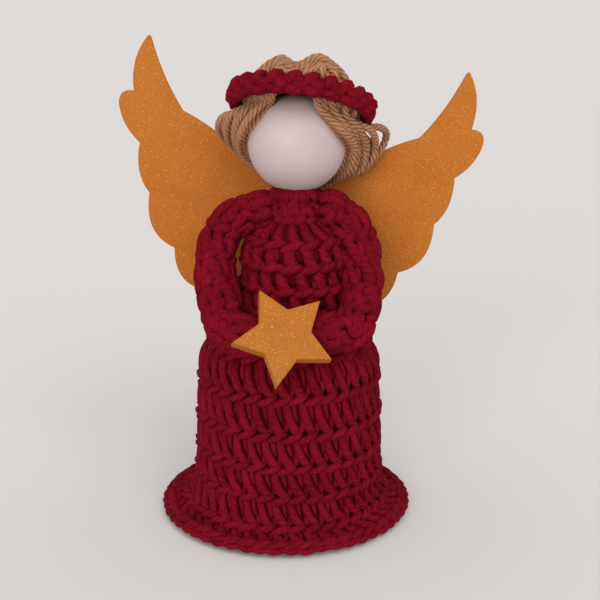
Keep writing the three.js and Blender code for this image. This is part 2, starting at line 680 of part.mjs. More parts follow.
function addStar() {
  const star = new THREE.Group();
  star.position.set(STAR_SHIFT, -HAND_REACH_LEFT - STAR_AHEAD, armRest() + STAR_RISE);
  star.rotation.set(degrees(90 - STAR_LEAN), 0, degrees(STAR_YAW), 'ZXY');
  star.updateMatrix();
  angel.add(star);

  const corners = [];
  for (let corner = 0; corner < 2 * STAR_POINTS; corner++) {
    const radius = corner % 2 ? STAR_INNER_RADIUS : STAR_RADIUS;
    const angle = degrees(90 + STAR_SPIN) + Math.PI * corner / STAR_POINTS;
    corners.push(new THREE.Vector2(radius * Math.cos(angle), radius * Math.sin(angle)));
  }
  const plate = new THREE.ExtrudeGeometry(new THREE.Shape(corners), {
    depth: STAR_THICKNESS - 2 * STAR_BEVEL,
    bevelThickness: STAR_BEVEL,
    bevelSize: STAR_BEVEL,
    bevelOffset: -STAR_BEVEL,
    bevelSegments: 1,
  });
  plate.translate(0, 0, STAR_BEVEL - STAR_THICKNESS / 2);
  addPiece(star, 'star', plate, FOAM_GOLD, 0.5, 0.2);

  for (const [word, side, reach] of HANDS) {
    const route = armRoute(side, reach);
    const tip = route.getPointAt(1 - DAB_RADIUS / route.getLength());
    const toStar = star.matrix.clone().invert();
    const spot = tip.applyMatrix4(toStar);
    const back = -STAR_THICKNESS / 2 - CLEARANCE;
    const dab = new THREE.CylinderGeometry(DAB_RADIUS, DAB_RADIUS, back - spot.z, ARM_SIDES);
    dab.rotateX(Math.PI / 2).translate(spot.x, spot.y, (back + spot.z) / 2);
    const middle = stretch(route, armStart(route), 1);
    const hand = handStart(middle);
    const clear = (share) => armRadius(share, hand) + CLEARANCE;
    middle.points.push(middle.getPointAt(1).addScaledVector(middle.getTangentAt(1), CLEARANCE));
    middle.updateArcLengths();
    const around = roundLoft(middle, clear, ARM_STEPS, ARM_SIDES);
    addPiece(star, `${word}_star_glue`, cut(dab, around.applyMatrix4(toStar)), GLUE, 0.3);
  }
}

function addWings() {
  const edge = new THREE.Path();
  edge.moveTo(0, WING_BOTTOM);
  for (const [end, pull] of WING_EDGE) edge.quadraticCurveTo(...pull, ...end);
  const right = edge.getPoints(CURVE_STEPS);
  const left = right.slice(1, -1).reverse().map((point) => new THREE.Vector2(-point.x, point.y));
  const sheet = new THREE.ExtrudeGeometry(new THREE.Shape([...right, ...left]), {
    depth: WING_THICKNESS,
    bevelEnabled: false,
  });
  const wings = new THREE.Group();
  wings.position.set(0, WING_FRONT + WING_THICKNESS, CHEST_TOP + WING_RISE);
  wings.rotation.y = degrees(WING_ROLL);
  angel.add(wings);
  addPiece(wings, 'wings', sheet.rotateX(Math.PI / 2), FOAM_GOLD, 0.5, 0.2);

  const back = WING_FRONT - CLEARANCE;
  const pad = new THREE.BoxGeometry(GLUE_WIDTH, back, GLUE_HEIGHT);
  pad.translate(0, back / 2, CHEST_TOP - GLUE_HEIGHT / 2);
  const around = BODICE_RADIUS + CLEARANCE;
  const body = new THREE.CylinderGeometry(around, around, 2 * GLUE_HEIGHT, ROUND_SIDES);
  body.rotateX(Math.PI / 2).translate(0, 0, CHEST_TOP - GLUE_HEIGHT / 2);
  addPiece(angel, 'wing_glue', cut(pad, body), GLUE, 0.3);
}

addBase();
addBrim();
addSkirt();
const head = makeHeadGroup();
addBodice(head);
addStem(head);
addBead(head);
addHair(head);
addHeadband(head);
addArms();
addStar();
addWings();

export default angel;
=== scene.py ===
"""Looks of a crocheted angel ornament: yarn stitches, plied yarn hair, a turned bead and glitter foam.

Sizes are in millimetres, in the frame of the CAD model, and are turned to metres where a mesh is made.
Left and right are as seen from the front.
"""
import math

import bpy
import numpy as np
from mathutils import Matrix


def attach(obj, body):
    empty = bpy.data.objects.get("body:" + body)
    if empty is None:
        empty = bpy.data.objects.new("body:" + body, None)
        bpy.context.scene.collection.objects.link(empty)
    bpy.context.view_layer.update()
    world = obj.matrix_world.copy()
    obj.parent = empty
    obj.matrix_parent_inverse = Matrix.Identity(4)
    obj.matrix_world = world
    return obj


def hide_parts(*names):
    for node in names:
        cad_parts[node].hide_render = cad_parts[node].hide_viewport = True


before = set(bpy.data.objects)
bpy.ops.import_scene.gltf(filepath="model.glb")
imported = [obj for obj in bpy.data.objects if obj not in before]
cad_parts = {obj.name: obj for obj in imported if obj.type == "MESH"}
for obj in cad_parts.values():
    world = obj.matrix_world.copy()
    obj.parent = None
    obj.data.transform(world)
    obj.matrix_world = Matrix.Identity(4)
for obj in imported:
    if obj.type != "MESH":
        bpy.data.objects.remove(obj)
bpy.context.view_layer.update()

MM = 0.001
random = np.random.default_rng(7)

# Crocheted walls: how far the middle of the yarn lies inside their face, and how far their line runs on
HALF_WALL = 2.2
RUN_ON = 6

# Lining behind the stitches: how far out it lies from the middle of the yarn, its thickness, and its dip
# above the foot of each round
LINING_LIFT = -0.1
LINING_WALL = 0.8
FOOT_RISE = 1.2
FOOT_DEPTH = 1.6

# Skirt: heights of its ridges, and where the round over its shoulder starts along its wall
SKIRT_RADIUS = 30.8
SKIRT_TAPER = 1.5
SKIRT_TOP = 60.5
SKIRT_CORNER = 8
SKIRT_MOUTH = 12.5
SKIRT_RIDGES = [14.1, 23.6, 33.8, 45.5]
SKIRT_SHOULDER = 44.5
SKIRT_STITCHES = [37, 37, 37, 37, 28]

# Hem: edges of its lower and upper round as shares of its line, and its chained rim
BRIM_RADIUS = 41.5
BRIM_SHIFT = -0.9
BRIM_HEIGHT = 12.7
BRIM_EDGES = (0.16, 0.5, 1.08)
BRIM_LOWER_STITCHES = [46]
BRIM_UPPER_STITCHES = [40]
BRIM_LINING_START = 1.5
RIM_DEPTH = 1.3
RIM_LOOPS = 54

# Base disc
BASE_HOLE = 2
BASE_RADIUS = 33
BASE_MIDDLE = 1.5
BASE_STITCHES = [9, 18, 27, 36]

# Bodice and neck: the middle of their yarn is given by distance from the axis and height, from the waist up
BODICE_RADIUS = 15.5
BODICE_SHIFT = 2.3
BODICE_LINE = [(17.5, 60.8), (17, 66), (16.3, 72), (15.4, 78), (15, 84), (13.6, 88.4), (10, 91.6),
               (7.3, 94.8), (6.3, 99), (6.2, 105.4)]
BODICE_RIDGES = [68.7, 75.9, 82.9, 90.3, 96.5, 100.9]
CHEST_STITCHES = [18, 18, 18, 17]
CHEST_LEAN = 0.5
SHOULDER_STITCHES = [15]
NECK_STITCHES = [12, 12]
NECK_UNEVEN = 1.8
NECK_RADIUS = 8

# Head: its pivot, the lean to the right, and the bead
HEAD_PIVOT = np.array([1.0, 0.0, 104.6])
HEAD_TILT = math.radians(7)
BEAD_RADIUS = 15
BEAD_FLAT_RADIUS = 5.4
BEAD_CLEARANCE = 0.3
BEAD_HALF_HEIGHT = math.sqrt(BEAD_RADIUS ** 2 - BEAD_FLAT_RADIUS ** 2)
BEAD_LIFT = BEAD_HALF_HEIGHT + BEAD_CLEARANCE
BEAD_TOP = BEAD_LIFT + BEAD_HALF_HEIGHT
BORE_RADIUS = 3.4

# Hair: the parting and the crown are measured up from the bead's top, the nape and the band from its
# middle. The first strand is at the front, and the last ones meet and gather at the back.
HAIR_MIDDLE = np.array([0, 0, BEAD_LIFT])
LOCK_COUNT = 8
LOCK_RADIUS = 16.55
PARTING_LENGTH = 23.5
PARTING_OFFSET = -2.6
PARTING_HEIGHT = 8
CROWN_HEIGHT = {-1: 9.8, 1: 11.3}
CROWN_DROP = 2.5
CROWN_HALF_WIDTH = {-1: 5.4, 1: 6.2}
CROWN_INSET = 2.6
BAND_INSET = 0.6
FOREHEAD_DIP = 5
TEMPLE_SWELL = 1.5
HAIR_BULGE = {
    -1: {"temple": 7.3, "cheek": 8.6, "jaw": 8.2},
    1: {"temple": 4.4, "cheek": 8, "jaw": 7.6},
}
NAPE_HEIGHT = -11
NAPE_DROP = 3
NAPE_INSET = 0.3
BAND_MIDDLE = 12.5
BAND_CLEAR = 4.85
BACK_MEETING = 176
BACK_MEETING_POWER = 8
BACK_GATHER = 0.75
BACK_GATHER_POWER = 12
HAIR_RADIUS = 1.22
HAIR_PLIES = 4
HAIR_PITCH = 8
HAIR_STRAY = 0.35
HAIR_LOOSENESS = 0.5

# Strands of a lock: share of its width, and how far out they lie. One lock has a loose strand as well.
LOCK_STRANDS = ((0.25, 0.6), (0.5, -1.5), (0.75, -1.1), (1.0, -1.6))
LOOSE_LOCK = 4
LOOSE_PLACE = 0.5
LOOSE_LIFT = 0.3
LOOSE_SLACK = 5.6
LOOSE_RISE = 0.6

# Levels round the cheek: height above the bead's middle, least drop from the band, how much closer the
# first strand lies, and share of the slack of a loose strand
HAIR_LEVELS = {"temple": (6.5, 3.5, 0.8, 1.05), "cheek": (0.5, 7, 0, 1.1), "jaw": (-6, 10.5, 0, 0.5)}

# Degrees from the front of the first and last strand at each level, for the left and the right side
HAIR_SWEEPS = {
    -1: {"above": (31, 154), "under": (34, 158), "below": (53, 156), "temple": (58, 152),
         "cheek": (75, 150), "jaw": (110, 158), "nape": (154, 172)},
    1: {"above": (17, 154), "under": (14, 158), "below": (19, 156), "temple": (46, 152),
        "cheek": (80, 142), "jaw": (96, 134), "nape": (142, 172)},
}

# Yarn under the crown: rings by radius and height, and rolls beside the parting by distance and height
PADDING_RADIUS = 1.4
PADDING_RINGS = ((8, 3.2), (5.4, 3.2), (2.8, 3.2), (8.5, 5.4), (5.9, 5.4), (3.2, 5.4))
ROLL_RADIUS = 1.3
ROLL_REACH = 9.5
ROLL_BOW = 12
ROLLS = {-1: ((3.6, 6.6), (6.2, 6.6), (4.9, 7.2)), 1: ((3.6, 6.6), (6.2, 6.6), (4.9, 9.2))}

# Thread that ties the hair at the parting: places from front to back, and heights over the hair
TIE_RADIUS = 0.6
TIE_LIFT = 1.5
TIE_ROUTE = [(-13.6, -5), (-13.2, -2.6), (0, 0.2), (11.6, -2.4), (11.4, -5)]

# Headband, with the rings of yarn inside it by their places up and out in its oval section
BAND_HALF_WIDTH = 20.4
BAND_LEAN = math.radians(19)
BAND_RISE = BAND_HALF_WIDTH * math.tan(BAND_LEAN)
BAND_FRONT_DEPTH = 15.5
BAND_LIFT = 11.8
BAND_GAP = 3.3
BAND_HALF_THICKNESS = 0.6
BAND_HALF_HEIGHT = 2.6
BAND_LOOPS = 24
BAND_RING_RADIUS = 1.2
BAND_RINGS = ((-2.6, -0.8), (-2.2, -1.2), (0.0, -1.2), (1.7, -1.2))

# Arms: each bend is out from where the arm hangs, forwards, and a share of the way down. The lining stops
# a few points of the arm's line before its tip.
ARM_RADIUS = 5.7
ARM_DEPTH = 1.7
ARM_SINK = 1.8
ARM_SWELL = 0.6
ARM_SWELL_PLACE = 0.6
ARM_TOP = 98.1
ARM_REST = 64.67
ARM_BENDS = {-1: [[-1.6, 2.2, 0.15], [1.5, 6, 0.47], [-0.4, 12.8, 0.79], [-3, 19.5, 0.98]],
             1: [[-1.6, 2.2, 0.15], [1.5, 6, 0.47], [1, 12, 0.79], [-2.4, 19.5, 0.98]]}
ARM_ROUNDS = 8
ARM_STITCHES = 7
ARM_UNEVEN = 1.7
ARM_FRONT = (0.35, -1.0, 0.6)
ARM_LINING_DEPTH = 0.7
ARM_LINING_STOP = 6
ARM_POINTS = 120
HAND_REACH = {-1: 30, 1: 28}
HAND_SPACING = 3.4
HAND_LENGTH = 9.5
HAND_TURN = 4.5
HAND_INSET = 0.5
HAND_END = 88

# Gaps that are joined where a mesh that was spun, or cut from a curve, closes up
SPIN_SEAM = 0.01
CUT_SEAM = 0.005

# Star and wings, with cut edges a little rounded. The right wing's edge goes from the bottom round to the
# middle: where each curve ends, and the point that pulls it.
CUT_BEVEL = 0.35
STAR_PLACE = (-1, -37, 67.97)
STAR_POINTS = 5
STAR_RADIUS = 15
STAR_INNER_RADIUS = 7.8
STAR_THICKNESS = 4.4
STAR_LEAN = math.radians(33)
STAR_YAW = math.radians(10)
STAR_SPIN = math.radians(23)
WING_PLACE = (0, 19.1, 85)
WING_THICKNESS = 2
WING_ROLL = math.radians(6.5)
WING_BOTTOM = (0, -13)
WING_EDGE = [
    [(17, -19.5), (9, -20)],
    [(37.4, -7), (36, -24)],
    [(47, 10.4), (48, -3.5)],
    [(51.4, 26.3), (52.5, 16)],
    [(59, 38.5), (58, 31.5)],
    [(54.5, 42.4), (59, 43)],
    [(51.6, 59.6), (56.5, 52.5)],
    [(50.2, 59.4), (51, 61)],
    [(38.3, 37.9), (45.5, 47)],
    [(11, 20.5), (25, 33)],
    [(0, 15), (5, 15.5)],
]

# Dab of glue behind the wings: its middle and half its sizes
GLUE_PLACE = (1, 17, 85)
GLUE_HALF_SIZES = (6, 2.4, 8)

# Stuffing
SKIRT_STUFFING = {"bottom": 5.2, "foot": 24, "foot_corner": 2,
                  "top": 55.2, "radius": 23.7, "top_corner": 6.2}
BODICE_STUFFING = {"bottom": 58, "radius": 11, "corner": 1,
                   "shoulder": 78.5, "top": 81.8, "top_radius": 3.5}

# Light: where each lamp shines from, how many degrees of the sky it fills, and its strength
LAMPS = {"window": ((0.35, -0.8, 0.87), 42, 0.85), "fill": ((-0.4, -1.15, 0.3), 32, 1.2)}
SKY_STRENGTH = 0.88

# Camera and floor
CAMERA_PLACE = (3.7, -321, 154)
CAMERA_TILT = math.radians(75.2)
CAMERA_LENS = 62.7
CAMERA_SENSOR = 36
FLOOR_SIZE = 8000

# Finishes: sizes of their patterns, depths of their relief, and how much each pattern adds to the tone
RED_PLIES = 3
RED_PITCH = 7
FIBRES_IN_PLY = 6.0
FIBRES_IN_MM = 0.6
FIBRE_SHIFT = 50.0
# Fibre streaks: a random tone whose lighter streaks are partly painted sheen
FIBRE_AND_SHEEN_TONE = 0.6
FIBRE_HEIGHT = 0.4
# Ply pattern: grooves painted darker and crowns lighter, as painted shade and painted highlight
PLY_PAINTED_SHADE_TONE = 0.6
YARN_PATCH = 7
YARN_PATCH_TONE = 0.3
YARN_RELIEF = 0.4
GLITTER_FLAKE = 0.22
GLITTER_FLAKE_TONE = 0.22
GLITTER_CLOUD = 12
GLITTER_CLOUD_TONE = 0.12
GLITTER_RELIEF = 0.05
LATHE_RING = 1.1
LATHE_RING_TONE = 0.08
LATHE_RELIEF = 0.03
PAINT_CLOUD = 8

# Length of one wave of the wave texture at a scale of 1
WAVE_LENGTH = 0.31

# Widths of a stitch at which its yarn has its full thickness, and how thin or thick other widths make it
SKIRT_STITCH_WIDTH = 4.9
CHEST_STITCH_WIDTH = 4.1
NECK_STITCH_WIDTH = 3.6
ARM_STITCH_WIDTH = 3.4
BAND_STITCH_WIDTH = 5.3
LEAST_SQUEEZE = 0.45
MOST_SQUEEZE = 1.15

# Handwork: how many stitches each round starts past the one below, how far a strand strays in stitch
# widths, round heights and millimetres, how much its thickness varies, and how thin its ends are
ROUND_SHIFT = 0.37
STRAY = np.array([0.05, 0.02, 0.15])
THICKNESS_VARIES = 0.05
END_TAPER = 0.45

# Yarn: how much its shade differs from loop to loop, how far along its pattern may start, and, where its
# plies are modelled, their middle size and the depth of the grooves as shares of the radius
SHADE_VARIES = 0.05
PATTERN_START = 9
PLY_SIZE = 0.9
PLY_GROOVE = 0.12

# Strands of a stitch. A path is across in stitch widths, up in round heights and out in millimetres;
# a swell is the thickness along it against the radius, and flat is how thick it is against its width.
POST = {
    "path": [(0.0, 1.02, -0.8), (0.04, 0.9, 0.3), (0.13, 0.68, 0.8), (0.28, 0.45, 1.0),
             (0.52, 0.24, 1.0), (0.8, 0.1, 0.5), (0.96, 0.0, -0.6)],
    "radius": 1.4, "swell": (0.75, 0.9, 1.0, 1.08, 1.05, 0.85), "flat": 0.8,
}
LEG = {
    "path": [(0.34, 0.62, -0.4), (0.2, 0.46, 0.2), (0.1, 0.3, 0.4), (0.04, 0.18, 0.1),
             (0.0, 0.08, -0.9)],
    "radius": 1.05, "swell": (0.8, 1.1, 1.1, 0.9, 0.7), "flat": 0.8,
}
LOOP = {
    "path": [(0.54, 1.02, -0.8), (0.58, 0.88, 0.2), (0.64, 0.68, 0.45), (0.74, 0.48, 0.1),
             (0.84, 0.36, -0.8)],
    "radius": 0.85, "swell": (0.9, 1.1, 1.0, 0.85, 0.7), "flat": 0.85,
}
RIDGE = {
    "path": [(-0.22, -0.13, -0.3), (0.0, -0.1, 0.7), (0.3, -0.04, 1.35), (0.66, 0.03, 1.4),
             (0.95, 0.09, 0.7), (1.12, 0.11, -0.3)],
    "radius": 1.15, "swell": (0.65, 1.0, 1.12, 1.1, 0.95, 0.6), "flat": 0.9,
}
TALL_STITCH = (POST, LEG, LOOP, RIDGE)
STITCH_MIDDLE = 0.45

# A short stitch that opens upwards, for the arms and the neck
ARM_STITCH = (
    {"path": [(-0.05, 1.02, -0.6), (0.02, 0.85, 0.3), (0.15, 0.55, 0.8), (0.38, 0.25, 0.8),
              (0.52, 0.05, -0.3)],
     "radius": 1.45, "swell": (0.8, 1.05, 1.1, 1.0, 0.8), "flat": 0.85},
    {"path": [(0.95, 1.02, -0.7), (0.9, 0.85, 0.2), (0.78, 0.55, 0.6), (0.62, 0.28, 0.5),
              (0.52, 0.08, -0.5)],
     "radius": 1.35, "swell": (0.8, 1.0, 1.1, 1.0, 0.8), "flat": 0.85},
    {"path": [(-0.2, -0.16, -0.5), (0.02, -0.12, 0.3), (0.35, 0.0, 0.7), (0.68, 0.1, 0.5),
              (1.0, 0.17, -0.5)],
     "radius": 1.35, "swell": (0.7, 1.0, 1.15, 1.0, 0.7), "flat": 0.9},
)

# Rim of the hem: distances up its wall are in millimetres
RIM_STITCH = (
    {"path": [(-0.3, 1.4, -0.6), (-0.05, 1.5, 0.4), (0.4, 2.0, 0.8), (0.8, 2.8, 0.4), (1.1, 3.1, -0.6)],
     "radius": 1.2, "swell": (0.8, 1.0, 1.1, 1.0, 0.8), "flat": 0.85},
    {"path": [(-0.3, 1.3, 0.5), (-0.05, 0.8, 0.2), (0.4, 0.4, -0.1), (0.8, 0.7, 0.1), (1.1, 1.5, 0.5)],
     "radius": 1.05, "swell": (0.8, 1.0, 1.1, 1.0, 0.8), "flat": 0.85},
)

# Headband: plump loops over its upper edge, loops between them and small ones on the lower edge,
# with distances up from its middle in millimetres
BAND_STITCH = (
    {"path": [(-0.12, -0.5, -0.8), (0.08, 0.4, 0.0), (0.34, 1.5, 0.3), (0.6, 2.4, -0.1),
              (0.75, 2.8, -0.9)],
     "radius": 1.85, "swell": (0.55, 0.95, 1.1, 1.0, 0.6), "flat": 0.95},
    {"path": [(0.38, 1.3, -0.7), (0.52, 0.4, 0.1), (0.72, -0.4, 0.4), (0.95, -1.1, 0.1),
              (1.1, -1.5, -0.7)],
     "radius": 1.6, "swell": (0.6, 1.0, 1.1, 1.0, 0.6), "flat": 0.95},
    {"path": [(-0.05, -1.2, -0.8), (0.15, -1.8, 0.0), (0.45, -2.2, 0.2), (0.75, -2.2, 0.0),
              (0.95, -1.7, -0.8)],
     "radius": 1.45, "swell": (0.7, 1.0, 1.1, 1.0, 0.7), "flat": 0.9},
)


def linear(code):
    """An sRGB hex colour as a linear one with alpha."""
    channels = [int(code[i:i + 2], 16) / 255 for i in (1, 3, 5)]
    return [c / 12.92 if c <= 0.04045 else ((c + 0.055) / 1.055) ** 2.4 for c in channels] + [1.0]


def add_node(material, kind, sockets, **settings):
    """Adds a node with its settings. A socket's value is a constant, or an output to link from."""
    made = material.node_tree.nodes.new(kind)
    for name, value in settings.items():
        setattr(made, name, value)
    for name, value in sockets.items():
        if isinstance(value, bpy.types.NodeSocket):
            material.node_tree.links.new(value, made.inputs[name])
        else:
            made.inputs[name].default_value = value
    return made


def start_material(name, values):
    """A new material with values for its shader, and its coordinates."""
    material = bpy.data.materials.new(name)
    material.use_nodes = True
    for socket, value in values.items():
        material.node_tree.nodes["Principled BSDF"].inputs[socket].default_value = value
    return material, add_node(material, "ShaderNodeTexCoord", {}).outputs


def plug(material, output, name):
    """Links an output to an input of the material's shader."""
    material.node_tree.links.new(output, material.node_tree.nodes["Principled BSDF"].inputs[name])


def calculate(material, operation, *values):
    """The output of a calculation with constants and outputs."""
    return add_node(material, "ShaderNodeMath", dict(enumerate(values)), operation=operation).outputs[0]


def noise(material, place, size, detail):
    """The output of a soft noise with patches of a size in millimetres."""
    sockets = {"Vector": place, "Scale": 1 / (size * MM), "Detail": detail}
    return add_node(material, "ShaderNodeTexNoise", sockets).outputs["Fac"]


def paint(material, tone, stops, height, strength, relief):
    """Colours a material by its tone, from stops of a place and a hex colour, and gives it a relief."""
    colour = add_node(material, "ShaderNodeValToRGB", {"Fac": tone})
    for i, (place, code) in enumerate(stops):
        colour.color_ramp.elements[i].position = place
        colour.color_ramp.elements[i].color = linear(code)
    plug(material, colour.outputs["Color"], "Base Color")
    bump = add_node(material, "ShaderNodeBump",
                    {"Height": height, "Strength": strength, "Distance": relief * MM})
    plug(material, bump.outputs["Normal"], "Normal")


def make_yarn(name, dark, light, plies, pitch, groove):
    """Plied cotton yarn: matt, with slanted grooves between its plies that are painted darker than the
    crowns as painted shade, fine fibres that follow the plies, whose lighter streaks are partly painted
    sheen, and a shade that differs a little from loop to loop. Its map runs once round it, and along it in
    millimetres."""
    material, place = start_material(name, {
        "Roughness": 0.9, "Specular IOR Level": 0.03,
        "Sheen Weight": 0.05, "Sheen Roughness": 0.5, "Sheen Tint": linear(light),
    })
    run = add_node(material, "ShaderNodeSeparateXYZ", {"Vector": place["UV"]}).outputs
    around = calculate(material, "MULTIPLY", run["X"], plies)
    lay = calculate(material, "MULTIPLY_ADD", run["Y"], plies / pitch, around)
    side = calculate(material, "PINGPONG", lay, 0.5)
    crown = calculate(material, "POWER", side, 0.5)
    crown = calculate(material, "MULTIPLY", crown, groove)
    across = calculate(material, "MULTIPLY", lay, FIBRES_IN_PLY)
    along = calculate(material, "MULTIPLY", run["Y"], FIBRES_IN_MM)
    shade = add_node(material, "ShaderNodeAttribute", {}, attribute_name="shade").outputs["Fac"]
    spot = calculate(material, "MULTIPLY", shade, FIBRE_SHIFT)
    thread = add_node(material, "ShaderNodeCombineXYZ", {"X": across, "Y": along, "Z": spot}).outputs[0]
    fibre = add_node(material, "ShaderNodeTexNoise", {"Vector": thread, "Scale": 1.0, "Detail": 3.0})
    fibre = fibre.outputs["Fac"]
    patch = noise(material, place["Object"], YARN_PATCH, 2.0)
    # Tone: fibres (partly painted sheen), random shade and patches, and painted shade in the ply grooves
    tone = calculate(material, "MULTIPLY_ADD", fibre, FIBRE_AND_SHEEN_TONE, shade)
    tone = calculate(material, "MULTIPLY_ADD", patch, YARN_PATCH_TONE, tone)
    tone = calculate(material, "MULTIPLY_ADD", crown, PLY_PAINTED_SHADE_TONE, tone)
    height = calculate(material, "MULTIPLY_ADD", fibre, FIBRE_HEIGHT, crown)
    paint(material, tone, ((0.25, dark), (0.9, light)), height, strength=0.7, relief=YARN_RELIEF)
    return material


def make_glitter(name, base, glint_and_speck):
    """Glitter foam: a satin gold sheet closely set with fine flat flakes, each with its own tilt and
    brightness. A few of them are painted bright, as painted glints. The flakes are drawn a little coarser
    than real ones, so that they show."""
    material, place = start_material(name, {"Specular IOR Level": 0.1})
    flakes = add_node(material, "ShaderNodeTexVoronoi",
                      {"Vector": place["Object"], "Scale": 1 / (GLITTER_FLAKE * MM)})
    chance = add_node(material, "ShaderNodeSeparateColor", {"Color": flakes.outputs["Color"]}).outputs
    # Painted glints: flakes whose chance is near 1 are painted bright, standing in for highlights
    painted_glint = add_node(material, "ShaderNodeMapRange",
                     {"Value": chance["Red"], "From Min": 0.97, "From Max": 1.0})
    cloud = noise(material, place["Object"], GLITTER_CLOUD, 2.0)
    tone = calculate(material, "MULTIPLY_ADD", chance["Green"], GLITTER_FLAKE_TONE, painted_glint.outputs[0])
    tone = calculate(material, "MULTIPLY_ADD", cloud, GLITTER_CLOUD_TONE, tone)
    rough = add_node(material, "ShaderNodeMapRange",
                     {"Value": chance["Green"], "To Min": 0.4, "To Max": 0.7})
    plug(material, rough.outputs[0], "Roughness")
    paint(material, tone, ((0.0, base), (1.0, glint_and_speck)), chance["Blue"], strength=0.3, relief=GLITTER_RELIEF)
    return material


def make_white_wood():
    """Beech bead, turned and sprayed matt white: smooth, with the faintest rings left by the lathe."""
    material, place = start_material("matt_white_beech", {"Roughness": 0.55})
    upright = add_node(material, "ShaderNodeMapping",
                       {"Vector": place["Object"], "Rotation": (0, -HEAD_TILT, 0)})
    rings = add_node(material, "ShaderNodeTexWave",
                     {"Vector": upright.outputs[0], "Scale": WAVE_LENGTH / (LATHE_RING * MM),
                      "Distortion": 1.5, "Detail": 2.0, "Detail Scale": 0.6}, bands_direction="Z")
    rings = rings.outputs["Fac"]
    cloud = noise(material, place["Object"], PAINT_CLOUD, 3.0)
    tone = calculate(material, "MULTIPLY_ADD", rings, LATHE_RING_TONE, cloud)
    # Both stops are pinkish grey: the pink is painted red light cast back from the yarn
    paint(material, tone, ((0.2, "#bba8a6"), (0.9, "#c5b3b2")), rings, strength=0.05, relief=LATHE_RELIEF)
    return material


def make_mottled(name, dark, light, size, roughness, relief, stretch=1, metallic=0.0, specular=0.5):
    """A plain material with a fine mottle: wadding, card, wire, glue, bare wood along its grain, or the
    linings."""
    material, place = start_material(name, {
        "Roughness": roughness, "Metallic": metallic, "Specular IOR Level": specular,
    })
    grain = add_node(material, "ShaderNodeMapping",
                     {"Vector": place["Object"], "Scale": (1, 1, 1 / stretch)})
    mottle = noise(material, grain.outputs[0], size, 5.0)
    paint(material, mottle, ((0.3, dark), (0.7, light)), mottle, strength=0.5, relief=relief)
    return material


RED_COTTON = make_yarn("red_cotton_yarn", "#430409", "#941428", RED_PLIES, RED_PITCH, groove=0.35)
CARAMEL_COTTON = make_yarn("caramel_plied_yarn", "#3a1e0e", "#bb8662", HAIR_PLIES, HAIR_PITCH, groove=1.0)
GOLD_FOAM = make_glitter("gold_glitter_foam", "#ab5612", "#e6a850")
# The star's base is darker than the foam's: painted shade that offsets the stronger light on its upturned
# face
GOLD_STAR = make_glitter("gold_glitter_star", "#9f5312", "#e6a850")
WHITE_WOOD = make_white_wood()
WADDING = make_mottled("polyester_wadding", "#d8d4cc", "#f2efe9", size=2.0, roughness=0.95, relief=0.5)
RED_BACKING = make_mottled("red_cotton_backing", "#4a050c", "#6e0b18", size=0.9, roughness=0.95, relief=0.3,
                           specular=0.03)
GLUE = make_mottled("clear_hot_glue", "#c9c2b0", "#e2ddd0", size=3.0, roughness=0.25, relief=0.2)
CARD = make_mottled("grey_board", "#a58a68", "#c2a885", size=0.8, roughness=0.85, relief=0.1)
BEECH = make_mottled("bare_beech", "#b8925f", "#d2b184", size=1.2, roughness=0.6, relief=0.1, stretch=8)
WIRE = make_mottled("drawn_steel_wire", "#77777a", "#9a9a9d", size=0.6, roughness=0.35, relief=0.02,
                    stretch=6, metallic=1.0)


def joined(*axes):
    """Points from rows of coordinates, or of one value for all, for each axis."""
    return np.stack(np.broadcast_arrays(*axes), axis=-1)


def spacings(points):
    """The distance from each point of a row to the next."""
    return np.linalg.norm(np.diff(points, axis=0), axis=1)


def distances(points):
    """How far along a row each of its points is."""
    return np.concatenate([[0], np.cumsum(spacings(points))])


def unit(arrows):
    """Arrows of the same directions, all of length 1."""
    return arrows / np.linalg.norm(arrows, axis=-1, keepdims=True)


def smooth(points, count):
    """Points evenly spaced along a smooth curve through the given ones."""
    knots = np.asarray(points, float)
    knots = np.vstack([2 * knots[0] - knots[1], knots, 2 * knots[-1] - knots[-2]])
    gaps = np.maximum(spacings(knots) ** 0.5, 1e-4)
    fine = np.linspace(0, 1, 24, endpoint=False)[:, None]
    parts = []
    for i in range(1, len(knots) - 2):
        before, here, after, beyond = knots[i - 1:i + 3]
        first, middle, last = gaps[i - 1:i + 2]
        leave = (here - before) / first - (after - before) / (first + middle) + (after - here) / middle
        arrive = (after - here) / middle - (beyond - here) / (middle + last) + (beyond - after) / last
        leave = leave * middle
        arrive = arrive * middle
        parts.append(here + leave * fine + (3 * (after - here) - 2 * leave - arrive) * fine ** 2
                     + (2 * (here - after) + leave + arrive) * fine ** 3)
    dense = np.vstack(parts + [knots[-2:-1]])
    run = distances(dense)
    even = np.linspace(0, run[-1], count)
    return joined(*(np.interp(even, run, values) for values in dense.T))


class Wall:
    """A crocheted wall turned round the upright axis, from the line that its middle follows upwards."""

    def __init__(self, line, shift=0.0):
        self.shift = shift
        line = np.asarray(line, float)
        before = line[0] - RUN_ON * unit(line[1] - line[0])
        beyond = line[-1] + RUN_ON * unit(line[-1] - line[-2])
        line = np.vstack([before, line, beyond])
        run = distances(line) - RUN_ON
        self.length = run[-1] - RUN_ON
        self.run = np.linspace(-RUN_ON, run[-1], 400)
        self.line = joined(*(np.interp(self.run, run, values) for values in line.T))
        self.slope = unit(np.gradient(self.line, self.run, axis=0))

    def profile(self, along, lift):
        """Distance from the axis and height, at a distance along the wall and out from its middle."""
        radius, height, widening, rising = [np.interp(along, self.run, values)
                                            for values in (*self.line.T, *self.slope.T)]
        return radius + rising * lift, height - widening * lift

    def at(self, turn, along, lift):
        """Points on the wall, where a turn of 0 is its front."""
        radius, height = self.profile(along, lift)
        angle = 2 * math.pi * turn
        return joined(radius * np.sin(angle) + self.shift, -radius * np.cos(angle), height)

    def rise(self, heights):
        """The distances along the wall at which its outer face reaches some heights."""
        return np.interp(heights, self.profile(self.run, HALF_WALL)[1], self.run)

    def width(self, along):
        """How far round the wall is."""
        return 2 * math.pi * np.maximum(self.profile(along, 0)[0], 0.1)


